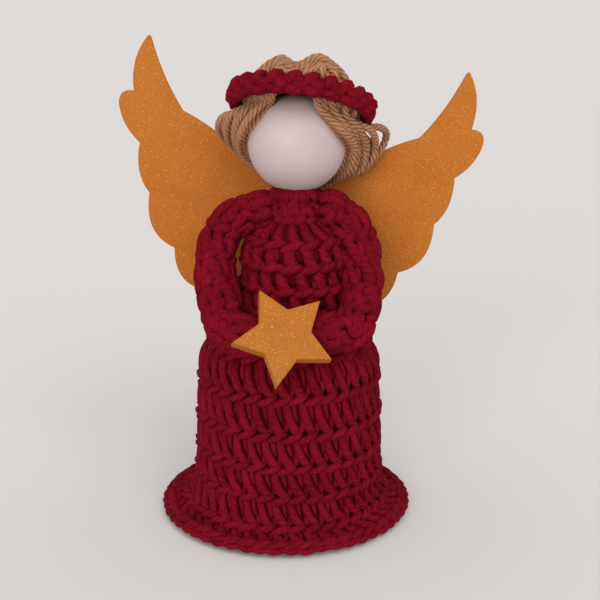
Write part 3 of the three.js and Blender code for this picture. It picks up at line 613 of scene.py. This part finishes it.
class Sleeve(Wall):
    """A crocheted tube along a curve in space. The line of its wall is radius and place along the curve."""

    def __init__(self, line, centre, side):
        super().__init__(line)
        self.centre = centre
        self.reach = distances(centre)
        self.ahead = unit(np.gradient(centre, self.reach, axis=0))
        front = np.array(ARM_FRONT) * np.array([side, 1, 1])
        self.front = unit(front - (self.ahead @ front)[:, None] * self.ahead)
        self.right = np.cross(self.ahead, self.front)

    def at(self, turn, along, lift):
        """Points on the tube, where a turn of 0 is its front."""
        radius, place = self.profile(along, lift)
        beyond = place - np.clip(place, 0, self.reach[-1])
        angle = 2 * math.pi * turn
        middle, front, right, ahead = [
            joined(*(np.interp(place, self.reach, values) for values in arrows.T))
            for arrows in (self.centre, self.front, self.right, self.ahead)]
        return (middle + front * (radius * np.cos(angle))[..., None]
                + right * (radius * np.sin(angle))[..., None] + ahead * beyond[..., None])


class Yarn:
    """Collects lengths of yarn into one mesh."""

    def __init__(self):
        self.points = []
        self.faces = []
        self.map = []
        self.shade = []
        self.total = 0

    def lay(self, paths, outward, radius, sides=8, flat=1.0, plies=0, closed=False):
        """Adds tubes along paths, each a row of points, with a direction that is outwards at each point.
        The seam of their map is on the inner side."""
        count, rings = paths.shape[:2]
        if closed:
            ahead = unit(np.roll(paths, -1, axis=1) - np.roll(paths, 1, axis=1))
        else:
            ahead = unit(np.gradient(paths, axis=1))
        across = unit(np.cross(ahead, outward))
        up = np.cross(across, ahead)
        run = np.cumsum(np.linalg.norm(np.diff(paths, axis=1, prepend=paths[:, :1]), axis=2), axis=1)
        run = run + random.uniform(0, PATTERN_START, (count, 1))
        angle = math.pi + 2 * math.pi * np.arange(sides) / sides
        thick = np.broadcast_to(np.asarray(radius, float), (count, rings)).copy()
        if not closed:
            thick[:, [0, -1]] *= END_TAPER
        size = thick[..., None] * np.ones(sides)
        if plies:
            turn = plies * (angle[None, None] - math.pi + 2 * math.pi * run[..., None] / HAIR_PITCH)
            size = size * (PLY_SIZE - PLY_GROOVE * np.cos(turn))
        tube = (paths[:, :, None] + up[:, :, None] * (flat * size * np.cos(angle))[..., None]
                + across[:, :, None] * (size * np.sin(angle))[..., None])
        starts = self.total + rings * sides * np.arange(count)[:, None, None]
        spans = rings if closed else rings - 1
        here = np.arange(spans)[None, :, None] * sides
        there = (np.arange(1, spans + 1)[None, :, None] % rings) * sides
        side = np.arange(sides)[None, None]
        after = (side + 1) % sides
        quads = joined(starts + here + side, starts + here + after, starts + there + after,
                       starts + there + side).reshape(-1, 4)
        low = np.broadcast_to(run[:, :spans, None], (count, spans, sides))
        after_run = np.concatenate([run[:, 1:], run[:, -1:] + 0.5], axis=1)[:, :spans]
        high = np.broadcast_to(after_run[..., None], (count, spans, sides))
        left = np.broadcast_to(side / sides, low.shape)
        right = left + 1 / sides
        corners = np.stack([joined(left, low), joined(right, low), joined(right, high), joined(left, high)],
                           axis=-2)
        self.faces.extend(quads.tolist())
        self.map.append(corners.reshape(-1, 2))
        if not closed:
            ring = np.arange(sides)
            firsts = starts[:, 0] + ring[::-1]
            lasts = starts[:, 0] + (rings - 1) * sides + ring
            self.faces.extend(firsts.tolist() + lasts.tolist())
            end_runs = np.concatenate([run[:, 0], run[:, -1]])
            self.map.append(np.repeat(joined(0.5, end_runs), sides, axis=0))
        self.points.append(tube.reshape(-1, 3))
        own = random.uniform(-SHADE_VARIES, SHADE_VARIES, count)
        self.shade.append(np.repeat(own, rings * sides))
        self.total += count * rings * sides

    def lay_one(self, path, outward, radius, **settings):
        """Adds one tube, with a direction that is outwards for all of it or at each point."""
        self.lay(path[None], np.broadcast_to(outward, path.shape)[None], radius, **settings)

    def piece(self, name, material, body, slot, *replaced):
        """Turns what was laid into one object that rides on a body."""
        mesh = bpy.data.meshes.new(name)
        mesh.from_pydata((np.concatenate(self.points) * MM).tolist(), [], self.faces)
        mesh.uv_layers.new(name="along_yarn").data.foreach_set("uv", np.concatenate(self.map).ravel())
        shade = mesh.attributes.new("shade", "FLOAT", "POINT")
        shade.data.foreach_set("value", np.concatenate(self.shade))
        mesh.shade_smooth()
        made = bpy.data.objects.new(name, mesh)
        bpy.context.collection.objects.link(made)
        settle(made, material, body, slot, *replaced)


def settle(made, material, body, slot, *replaced):
    """Puts a finished piece on its body, with its material, and hides the CAD nodes that it stands for. Its
    slot is not used.
    """
    made.data.materials.append(material)
    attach(made, body)
    if replaced:
        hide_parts(*replaced)
    return made


def stitch(yarn, wall, strand, count, low, high, shift, width=SKIRT_STITCH_WIDTH, depth=1.0, thick=1.0,
           uneven=1.0):
    """Lays one strand of every stitch in a round between two distances along the wall."""
    pitch = wall.width((low + high) / 2) / count
    scale = np.array([pitch, high - low, 1.0])
    line = smooth(np.array(strand["path"]) * scale, 9) / scale
    share = np.linspace(0, 1, len(line))
    nudge = random.normal(0, uneven, (count, 1, 3)) * STRAY
    spots = (line[None] + nudge * np.sin(math.pi * share)[None, :, None]) * np.array([1.0, 1.0, depth])
    turn = (np.arange(count)[:, None] + shift + spots[..., 0]) / count
    along = low + (high - low) * spots[..., 1]
    paths = wall.at(turn, along, spots[..., 2])
    outward = wall.at(turn, along, spots[..., 2] + 0.5) - paths
    squeeze = np.clip(wall.width(along) / count / width, LEAST_SQUEEZE, MOST_SQUEEZE)
    swell = np.interp(share, np.linspace(0, 1, len(strand["swell"])), strand["swell"])
    weight = random.normal(1, THICKNESS_VARIES * uneven, (count, 1))
    radius = thick * strand["radius"] * swell * squeeze * weight
    yarn.lay(paths, outward, radius, sides=7, flat=strand["flat"])


def crochet(yarn, wall, strands, edges, counts, shift=0.0, **settings):
    """Works rounds of stitches up a wall, each between two edges, with a ridge at the foot of each."""
    for number, (low, high, count) in enumerate(zip(edges[:-1], edges[1:], counts)):
        for strand in strands:
            stitch(yarn, wall, strand, count, low, high, shift + ROUND_SHIFT * number, **settings)


def upright(strand, lean):
    """The same strand with less of a lean."""
    middle = STITCH_MIDDLE * (1 - lean)
    return {**strand, "path": [(lean * across + middle, up, out) for across, up, out in strand["path"]]}


def deselect():
    """Leaves nothing selected, so that the next operator acts on its own piece alone."""
    bpy.ops.object.select_all(action="DESELECT")


def close_up(gap):
    """Joins the points of a mesh in edit mode that are nearer than a gap, turns its faces outwards and ends
    the editing."""
    bpy.ops.mesh.select_all(action="SELECT")
    bpy.ops.mesh.remove_doubles(threshold=gap * MM)
    bpy.ops.mesh.normals_make_consistent(inside=False)
    bpy.ops.object.mode_set(mode="OBJECT")


def turned(name, outline, steps, closed):
    """Spins an outline of radius and height round the upright axis, as on a lathe."""
    deselect()
    bpy.ops.mesh.primitive_circle_add(vertices=len(outline), radius=MM, fill_type="NOTHING")
    made = bpy.context.object
    made.name = name
    for corner, (radius, height) in zip(made.data.vertices, outline):
        corner.co = (radius * MM, 0, height * MM)
    bpy.ops.object.mode_set(mode="EDIT")
    if not closed:
        bpy.ops.mesh.select_mode(type="EDGE")
        bpy.ops.mesh.select_all(action="DESELECT")
        bpy.ops.object.mode_set(mode="OBJECT")
        for edge in made.data.edges:
            edge.select = set(edge.vertices) == {0, len(outline) - 1}
        bpy.ops.object.mode_set(mode="EDIT")
        bpy.ops.mesh.delete(type="EDGE")
    bpy.ops.mesh.select_all(action="SELECT")
    bpy.ops.mesh.spin(steps=steps, angle=2 * math.pi, center=(0, 0, 0), axis=(0, 0, 1))
    close_up(SPIN_SEAM)
    return made


def put(made, place, turn=(0, 0, 0)):
    """Places and turns a piece, in its mesh."""
    made.rotation_euler = turn
    made.location = [value * MM for value in place]
    bpy.ops.object.transform_apply(location=True, rotation=True, scale=True)


def lining(name, wall, low, high, feet, body):
    """The inner face of a crocheted wall: a thin shell behind the stitches, dipped at each round's foot."""
    along = np.linspace(low, high, 120)
    sunk = np.exp(-np.min(np.abs(along[:, None] - np.array(feet)[None] - FOOT_RISE), axis=1) ** 2)
    lift = LINING_LIFT - FOOT_DEPTH * sunk
    outer = joined(*wall.profile(along, lift))
    inner = joined(*wall.profile(along[::-1], lift[::-1] - LINING_WALL))
    made = turned(name, np.vstack([outer, inner]), 64, closed=True)
    put(made, (wall.shift, 0, 0))
    bpy.ops.object.shade_smooth()
    settle(made, RED_BACKING, body, "red_yarn")


def pipe_lining(name, centre, radius, body):
    """The inner face of a crocheted tube: a thin pipe behind its stitches."""
    deselect()
    bpy.ops.curve.primitive_nurbs_path_add()
    curve = bpy.context.object.data
    curve.splines.clear()
    spline = curve.splines.new("POLY")
    spline.points.add(len(centre) - 1)
    for corner, spot in zip(spline.points, centre * MM):
        corner.co = (*spot, 1)
    curve.bevel_depth = radius * MM
    curve.bevel_resolution = 5
    bpy.ops.object.convert(target="MESH")
    made = bpy.context.object
    made.name = name
    wall = made.modifiers.new("wall", "SOLIDIFY")
    wall.thickness = LINING_WALL * MM
    wall.offset = -1
    bpy.ops.object.modifier_apply(modifier="wall")
    bpy.ops.object.shade_smooth()
    settle(made, RED_BACKING, body, "red_yarn")


def arc(across, height, radius, start, end, count):
    """Points on an arc round a middle, between two angles in degrees."""
    angle = np.radians(np.linspace(start, end, count))
    return joined(across + radius * np.cos(angle), height + radius * np.sin(angle))


def bezier(*pulls):
    """Points on a curve from the first point to the last, pulled by those between."""
    share = np.linspace(0, 1, 40)[:, None]
    rows = [np.broadcast_to(pull, (len(share), 2)) for pull in pulls]
    while len(rows) > 1:
        rows = [a * (1 - share) + b * share for a, b in zip(rows[:-1], rows[1:])]
    return rows[0]


# Skirt
top_radius = SKIRT_RADIUS - SKIRT_TAPER - HALF_WALL
corner_height = SKIRT_TOP - HALF_WALL - SKIRT_CORNER
skirt_line = np.vstack([
    [[top_radius + SKIRT_TAPER, BRIM_HEIGHT]],
    arc(top_radius - SKIRT_CORNER, corner_height, SKIRT_CORNER, 0, 90, 12),
    [[SKIRT_MOUTH, SKIRT_TOP - HALF_WALL]],
])
skirt_wall = Wall(skirt_line)
skirt_edges = [*skirt_wall.rise(SKIRT_RIDGES), SKIRT_SHOULDER, skirt_wall.length]
skirt_yarn = Yarn()
crochet(skirt_yarn, skirt_wall, TALL_STITCH, skirt_edges, SKIRT_STITCHES, shift=0.1)
skirt_yarn.piece("skirt_stitches", RED_COTTON, "torso", "red_yarn", "skirt")
lining("skirt_lining", skirt_wall, 0, skirt_wall.length, skirt_edges, "torso")

# Hem: two rounds that flare outwards, and a chained rim
brim_line = bezier((BRIM_RADIUS - RIM_DEPTH, HALF_WALL), (SKIRT_RADIUS - HALF_WALL, HALF_WALL),
                   (SKIRT_RADIUS - HALF_WALL, BRIM_HEIGHT))
brim_wall = Wall(brim_line, BRIM_SHIFT)
brim_yarn = Yarn()
brim_edges = brim_wall.length * np.array(BRIM_EDGES)
crochet(brim_yarn, brim_wall, TALL_STITCH, brim_edges[1:], BRIM_UPPER_STITCHES, shift=0.3)
crochet(brim_yarn, brim_wall, TALL_STITCH, brim_edges[:2], BRIM_LOWER_STITCHES, shift=0.3, depth=0.8)
for strand in RIM_STITCH:
    stitch(brim_yarn, brim_wall, strand, RIM_LOOPS, 0, 1, 0)
brim_yarn.piece("brim_stitches", RED_COTTON, "torso", "red_yarn", "brim")
lining("brim_lining", brim_wall, BRIM_LINING_START, brim_wall.length, brim_edges, "torso")

# Base: rounds of a flat disc, seen from below
base_wall = Wall([[BASE_HOLE, BASE_MIDDLE], [BASE_RADIUS, BASE_MIDDLE]])
base_yarn = Yarn()
base_edges = np.linspace(0, base_wall.length, len(BASE_STITCHES) + 1)
crochet(base_yarn, base_wall, TALL_STITCH, base_edges, BASE_STITCHES, thick=0.7, depth=0.35)
base_yarn.piece("base_stitches", RED_COTTON, "torso", "red_yarn", "base_disc")

# Bodice
bodice_wall = Wall(smooth(BODICE_LINE, 80), BODICE_SHIFT)
bodice_yarn = Yarn()
bodice_edges = [0, *bodice_wall.rise(BODICE_RIDGES), bodice_wall.length]
chest_stitch = [*(upright(strand, CHEST_LEAN) for strand in (POST, LEG, LOOP)), RIDGE]
crochet(bodice_yarn, bodice_wall, chest_stitch, bodice_edges[:5], CHEST_STITCHES, shift=0.2,
        width=CHEST_STITCH_WIDTH)
crochet(bodice_yarn, bodice_wall, chest_stitch, bodice_edges[4:6], SHOULDER_STITCHES, shift=0.4,
        width=NECK_STITCH_WIDTH)
crochet(bodice_yarn, bodice_wall, ARM_STITCH, bodice_edges[5:], NECK_STITCHES, width=NECK_STITCH_WIDTH,
        uneven=NECK_UNEVEN)
bodice_yarn.piece("bodice_stitches", RED_COTTON, "torso", "red_yarn", "bodice")
lining("bodice_lining", bodice_wall, 0, bodice_wall.length, bodice_edges, "torso")


# Arms
def arm_centre(side):
    """The middle line of an arm, from beside the neck down to its hand."""
    start = NECK_RADIUS - ARM_SINK + side * BODICE_SHIFT
    out = BODICE_RADIUS + ARM_RADIUS
    reach = HAND_REACH[side]
    spots = [[start, 0, ARM_TOP], [start + ARM_RADIUS, 0, ARM_TOP]]
    spots += [[out + x, y, ARM_TOP + (ARM_REST - ARM_TOP) * down] for x, y, down in ARM_BENDS[side]]
    spots += [[out - HAND_LENGTH, reach - HAND_TURN, ARM_REST], [HAND_SPACING / 2, reach, ARM_REST]]
    return smooth([[side * x, -y, z] for x, y, z in spots], ARM_POINTS)


for side, word in ((-1, "left"), (1, "right")):
    centre = arm_centre(side)
    reach = np.sum(spacings(centre))
    wall_radius = ARM_RADIUS - ARM_DEPTH
    arm_line = np.vstack([[[wall_radius, 0], [wall_radius + ARM_SWELL, ARM_SWELL_PLACE * reach]],
                          arc(0, reach - wall_radius - HAND_INSET, wall_radius, 0, HAND_END, 10)])
    arm_wall = Sleeve(arm_line, centre, side)
    arm_yarn = Yarn()
    edges = np.linspace(0, arm_wall.length, ARM_ROUNDS + 1)
    counts = [ARM_STITCHES] * ARM_ROUNDS
    handwork = {"width": ARM_STITCH_WIDTH, "uneven": ARM_UNEVEN}
    crochet(arm_yarn, arm_wall, ARM_STITCH[:2], edges[:2], counts[:1], **handwork)
    crochet(arm_yarn, arm_wall, ARM_STITCH, edges[1:], counts[1:], shift=0.2 * side, **handwork)
    arm_yarn.piece(word + "_arm_stitches", RED_COTTON, "arms", "red_yarn", word + "_arm")
    pipe_lining(word + "_arm_lining", centre[:-ARM_LINING_STOP], wall_radius - ARM_LINING_DEPTH, "arms")


# Head: the bead, leaning with the head
def on_head(points):
    """Moves points from the head's own frame to the model's."""
    x, y, z = np.moveaxis(np.asarray(points, float), -1, 0)
    cos, sin = math.cos(HEAD_TILT), math.sin(HEAD_TILT)
    return joined(cos * x + sin * z, y, cos * z - sin * x) + HEAD_PIVOT


def lean_with_head(made):
    """Gives a piece that was made upright the head's lean and place, in its mesh."""
    places = np.array([v.co for v in made.data.vertices]) / MM
    made.data.vertices.foreach_set("co", (on_head(places) * MM).ravel())
    made.data.update()


flat_angle = math.degrees(math.asin(BEAD_HALF_HEIGHT / BEAD_RADIUS))
bead_outline = np.vstack([
    [[BORE_RADIUS, BEAD_LIFT - BEAD_HALF_HEIGHT]],
    arc(0, BEAD_LIFT, BEAD_RADIUS, -flat_angle, math.degrees(math.acos(BORE_RADIUS / BEAD_RADIUS)), 48),
])
bead = turned("bead_head", bead_outline, 96, closed=True)
bpy.ops.object.shade_smooth_by_angle(angle=math.radians(35))
lean_with_head(bead)
settle(bead, WHITE_WOOD, "head", "white_wood", "head_bead")


# Hair
def around_head(degrees, radius, height):
    """A point round the bead's middle, from the front to the right."""
    angle = math.radians(degrees)
    return [radius * math.sin(angle), -radius * math.cos(angle), BEAD_LIFT + height]


def under_band(degrees):
    """How far hair that passes under the headband is from the head's axis."""
    angle = math.radians(degrees)
    depth = BAND_FRONT_DEPTH if math.cos(angle) > 0 else BAND_HALF_WIDTH
    return 1 / math.hypot(math.sin(angle) / BAND_HALF_WIDTH, math.cos(angle) / depth) - BAND_GAP


def mix(low, high, share):
    """The value at a share of the way between two."""
    return low + (high - low) * share


def half_strand(share, side, loose):
    """Half of a strand: from the parting over the crown, under the band, round the cheek, to the nape."""
    sweep = {}
    for level, (first, last) in HAIR_SWEEPS[side].items():
        meeting = (BACK_MEETING - last) * share ** BACK_MEETING_POWER
        sweep[level] = side * (mix(first, last, share) + meeting)
    along = (share - 0.5) * PARTING_LENGTH
    top = BEAD_TOP - CROWN_DROP * (2 * share - 1) ** 2
    band = BAND_MIDDLE + LOCK_RADIUS * math.cos(math.radians(sweep["under"])) * math.tan(BAND_LEAN)
    below = band - BAND_CLEAR
    swell = math.sin(math.pi * share) ** 2
    gather = BACK_GATHER * share ** BACK_GATHER_POWER
    crown = mix(CROWN_HEIGHT[side], PARTING_HEIGHT, gather)
    above_radius = min(LOCK_RADIUS - CROWN_INSET, under_band(sweep["above"]) - BAND_INSET)
    below_radius = LOCK_RADIUS + TEMPLE_SWELL * math.sin(math.pi * share) - FOREHEAD_DIP * (1 - share) ** 2
    spots = [
        [PARTING_OFFSET, along, top + PARTING_HEIGHT],
        [PARTING_OFFSET + side * CROWN_HALF_WIDTH[side] * (1 - gather), along, top + crown],
        around_head(sweep["above"], above_radius, band + BAND_CLEAR),
        around_head(sweep["under"], under_band(sweep["under"]), band),
        around_head(sweep["below"], below_radius, below),
    ]
    for level, (height, drop, dip, slack) in HAIR_LEVELS.items():
        radius = LOCK_RADIUS - dip * (1 - share) + HAIR_BULGE[side][level] * swell + slack * loose
        rise = LOOSE_RISE * slack * loose
        spots.append(around_head(sweep[level], radius, min(height, below - drop) + rise))
    nape_height = NAPE_HEIGHT - NAPE_DROP * (1 - share)
    spots.append(around_head(sweep["nape"], LOCK_RADIUS - NAPE_INSET, nape_height))
    return spots


def lay_hair(yarn, share, loose, lift):
    """Lays one strand from nape to nape."""
    spots = np.array(half_strand(share, -1, loose[0])[:0:-1] + half_strand(share, 1, loose[1]))
    lifts = lift + random.normal(0, HAIR_STRAY, (len(spots), 1))
    path = on_head(smooth(spots + unit(spots - HAIR_MIDDLE) * lifts, 400))
    yarn.lay_one(path, path - on_head(HAIR_MIDDLE), HAIR_RADIUS, sides=20, plies=HAIR_PLIES)


for lock in range(LOCK_COUNT):
    hair_yarn = Yarn()
    for place, lift in LOCK_STRANDS:
        lay_hair(hair_yarn, (lock + place) / LOCK_COUNT, random.normal(0, HAIR_LOOSENESS, 2), lift)
    if lock == LOOSE_LOCK:
        lay_hair(hair_yarn, (lock + LOOSE_PLACE) / LOCK_COUNT, (0, LOOSE_SLACK), LOOSE_LIFT)
    name = "hair_lock_%02d" % (lock + 1)
    hair_yarn.piece(name.replace("lock", "strands"), CARAMEL_COTTON, "head", "hair_yarn", name)

# Yarn rolled up under the crown, and the thread that ties the hair at the parting
upwards = (0.0, 0.0, 1.0)
padding = Yarn()
angle = np.linspace(0, 2 * math.pi, 60, endpoint=False)
for radius, height in PADDING_RINGS:
    ring = joined(radius * np.cos(angle), radius * np.sin(angle), BEAD_TOP + height)
    padding.lay_one(on_head(ring), upwards, PADDING_RADIUS, sides=9, closed=True)
reach = np.linspace(-ROLL_REACH, ROLL_REACH, 40)
for side, rolls in ROLLS.items():
    for across, height in rolls:
        bow = BEAD_TOP + height - CROWN_DROP * (reach / ROLL_BOW) ** 2
        roll = joined(PARTING_OFFSET + side * across, reach, bow)
        padding.lay_one(on_head(roll), upwards, ROLL_RADIUS, sides=9)
padding.piece("hair_padding", CARAMEL_COTTON, "head", "hair_yarn", "hair_core")
tie = Yarn()
tie_height = BEAD_TOP + PARTING_HEIGHT + TIE_LIFT
tie_path = smooth([[PARTING_OFFSET, depth, tie_height + rise] for depth, rise in TIE_ROUTE], 80)
tie.lay_one(on_head(tie_path), (1.0, 0.0, 0.0), TIE_RADIUS)
tie.piece("hair_tie_thread", CARAMEL_COTTON, "head", "hair_yarn", "hair_tie")


# Headband
class Band(Wall):
    """The leaning ring of the headband: turn goes round it, and along goes over its oval section."""

    def __init__(self):
        angle = np.radians(np.linspace(-90, 90, 40))
        super().__init__(joined(BAND_HALF_THICKNESS * np.cos(angle), BAND_HALF_HEIGHT * np.sin(angle)))

    def at(self, turn, along, lift):
        """Points on the band, where a turn of 0 is its front."""
        out, up = self.profile(along, lift)
        angle = 2 * math.pi * turn
        front = np.cos(angle)
        depth = np.where(front > 0, BAND_FRONT_DEPTH, BAND_HALF_WIDTH)
        cos, sin = math.cos(BAND_LEAN), math.sin(BAND_LEAN)
        x = (BAND_HALF_WIDTH + out) * np.sin(angle)
        y = up * sin - (depth + out * cos) * front
        z = BEAD_LIFT + BAND_LIFT + up * cos + (BAND_RISE + out * sin) * front
        return on_head(joined(x, y, z))

    def width(self, along):
        """How far round the band is, at every place along."""
        return 2 * math.pi * BAND_HALF_WIDTH + 0 * np.asarray(along, float)


band_wall = Band()
band_yarn = Yarn()
half = band_wall.length / 2
for strand in BAND_STITCH:
    moved = {**strand, "path": [(across, half + up, out) for across, up, out in strand["path"]]}
    stitch(band_yarn, band_wall, moved, BAND_LOOPS, 0, 1, 0, width=BAND_STITCH_WIDTH)
turn = np.linspace(0, 1, 120, endpoint=False)
for up, out in BAND_RINGS:
    ring = band_wall.at(turn, half + up, out)
    band_yarn.lay_one(ring, upwards, BAND_RING_RADIUS, closed=True)
band_yarn.piece("headband_stitches", RED_COTTON, "head", "red_yarn", "headband")


# Wings and star
def flat_sheet(name, points, pulls, thickness):
    """A sheet cut to an outline in its own plane, with softly rounded edges."""
    deselect()
    bpy.ops.curve.primitive_bezier_circle_add(radius=MM)
    made = bpy.context.object
    made.name = name
    curve = made.data
    curve.dimensions = "2D"
    curve.fill_mode = "BOTH"
    spline = curve.splines[0]
    spline.bezier_points.add(len(points) - len(spline.bezier_points))
    for corner, spot, (before, after) in zip(spline.bezier_points, points, pulls):
        corner.handle_left_type = "FREE"
        corner.handle_right_type = "FREE"
        corner.co = (spot[0] * MM, spot[1] * MM, 0)
        corner.handle_left = (before[0] * MM, before[1] * MM, 0)
        corner.handle_right = (after[0] * MM, after[1] * MM, 0)
    curve.resolution_u = 12
    curve.extrude = (thickness / 2 - CUT_BEVEL) * MM
    curve.bevel_depth = CUT_BEVEL * MM
    curve.bevel_resolution = 3
    curve.offset = -CUT_BEVEL * MM
    bpy.ops.object.convert(target="MESH")
    made = bpy.context.object
    bpy.ops.object.mode_set(mode="EDIT")
    close_up(CUT_SEAM)
    bpy.ops.object.shade_smooth_by_angle(angle=math.radians(25))
    return made


right_ends = [WING_BOTTOM] + [end for end, pull in WING_EDGE]
right_pulls = [pull for end, pull in WING_EDGE]
ends = right_ends + [(-x, y) for x, y in right_ends[-2:0:-1]]
middle_pulls = right_pulls + [(-x, y) for x, y in right_pulls[::-1]]
handles = []
for i, end in enumerate(ends):
    sides = [middle_pulls[i - 1], middle_pulls[i]]
    handles.append([[end[k] + (pull[k] - end[k]) * 2 / 3 for k in (0, 1)] for pull in sides])
wings = flat_sheet("foam_wings", ends, handles, WING_THICKNESS)
put(wings, WING_PLACE, (math.pi / 2, WING_ROLL, 0))
settle(wings, GOLD_FOAM, "torso", "glitter_foam", "wings")

corners = []
for i in range(2 * STAR_POINTS):
    radius = STAR_INNER_RADIUS if i % 2 else STAR_RADIUS
    angle = math.pi / 2 + STAR_SPIN + math.pi * i / STAR_POINTS
    corners.append((radius * math.cos(angle), radius * math.sin(angle)))
straight = []
for i, here in enumerate(corners):
    nearby = [corners[i - 1], corners[(i + 1) % len(corners)]]
    straight.append([[here[k] + (other[k] - here[k]) / 3 for k in (0, 1)] for other in nearby])
star = flat_sheet("glitter_star", corners, straight, STAR_THICKNESS)
put(star, STAR_PLACE, (math.pi / 2 - STAR_LEAN, 0, STAR_YAW))
settle(star, GOLD_STAR, "arms", "glitter_star", "star")


# Stuffing
def stuffed_skirt(bottom, foot, foot_corner, top, radius, top_corner):
    """Outline of the stuffing in the skirt, from the middle of its foot to the middle of its top."""
    return np.vstack([
        [[0, bottom], [foot - foot_corner, bottom]],
        arc(foot - foot_corner, bottom + foot_corner, foot_corner, -90, 0, 6),
        arc(radius - top_corner, top - top_corner, top_corner, 0, 90, 10),
        [[0, top]],
    ])


def stuffed_bodice(bottom, radius, corner, shoulder, top, top_radius):
    """Outline of the stuffing in the bodice, from the middle of its foot to the middle of its top."""
    return np.vstack([
        [[0, bottom], [radius - corner, bottom]],
        arc(radius - corner, bottom + corner, corner, -90, 0, 5),
        [[radius, shoulder], [top_radius, top], [0, top]],
    ])


skirt_stuffing = turned("skirt_stuffing", stuffed_skirt(**SKIRT_STUFFING), 64, closed=False)
bodice_stuffing = turned("bodice_stuffing", stuffed_bodice(**BODICE_STUFFING), 48, closed=False)
put(bodice_stuffing, (BODICE_SHIFT, 0, 0))
for made, node in ((skirt_stuffing, "skirt_filling"), (bodice_stuffing, "bodice_filling")):
    made.data.shade_smooth()
    settle(made, WADDING, "torso", "wadding", node)

# Glue between the wings and the back
deselect()
bpy.ops.mesh.primitive_uv_sphere_add(segments=32, ring_count=16, radius=MM)
dab = bpy.context.object
dab.name = "wing_glue_dab"
dab.scale = GLUE_HALF_SIZES
put(dab, GLUE_PLACE)
bpy.ops.object.shade_smooth()
settle(dab, GLUE, "torso", "glue", "wing_glue")

# Finishes of the CAD pieces that stay
finishes = {
    "base_card": CARD,
    "neck_stem": BEECH,
    "left_arm_wire": WIRE,
    "right_arm_wire": WIRE,
    "left_star_glue": GLUE,
    "right_star_glue": GLUE,
}
for node, material in finishes.items():
    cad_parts[node].data.materials.clear()
    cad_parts[node].data.materials.append(material)

# Floor, light and camera
deselect()
bpy.ops.mesh.primitive_plane_add(size=FLOOR_SIZE * MM)
floor = bpy.context.object
floor.name = "floor"
floor_values = {"Base Color": linear("#e0dcd7"), "Roughness": 0.9, "Specular IOR Level": 0.0}
floor.data.materials.append(start_material("pale_floor_paint", floor_values)[0])

world = bpy.data.worlds.new("studio")
bpy.context.scene.world = world
world.use_nodes = True
daylight = world.node_tree.nodes["Background"]
daylight.inputs["Color"].default_value = linear("#e6e7ea")
daylight.inputs["Strength"].default_value = SKY_STRENGTH
backdrop = add_node(world, "ShaderNodeBackground", {"Color": linear("#dfdcd9"), "Strength": 1.0})
rays = add_node(world, "ShaderNodeLightPath", {})
seen = add_node(world, "ShaderNodeMixShader",
                {0: rays.outputs["Is Camera Ray"], 1: daylight.outputs[0], 2: backdrop.outputs[0]})
world.node_tree.links.new(seen.outputs[0], world.node_tree.nodes["World Output"].inputs["Surface"])


def add_lamp(name, place, spread, strength):
    """A soft far light from a place towards the origin, as wide as some degrees of the sky."""
    deselect()
    bpy.ops.object.light_add(type="SUN", location=place)
    lamp = bpy.context.object
    lamp.name = name
    lamp.data.angle = math.radians(spread)
    lamp.data.energy = strength
    across = math.hypot(place[0], place[1])
    lamp.rotation_euler = (math.atan2(across, place[2]), 0, math.atan2(place[0], -place[1]))


for name, (place, spread, strength) in LAMPS.items():
    add_lamp(name, place, spread, strength)

deselect()
bpy.ops.object.camera_add(location=[value * MM for value in CAMERA_PLACE], rotation=(CAMERA_TILT, 0, 0))
camera = bpy.context.object
camera.data.lens = CAMERA_LENS
camera.data.sensor_width = CAMERA_SENSOR
bpy.context.scene.camera = camera
bpy.context.scene.view_settings.view_transform = "Standard"
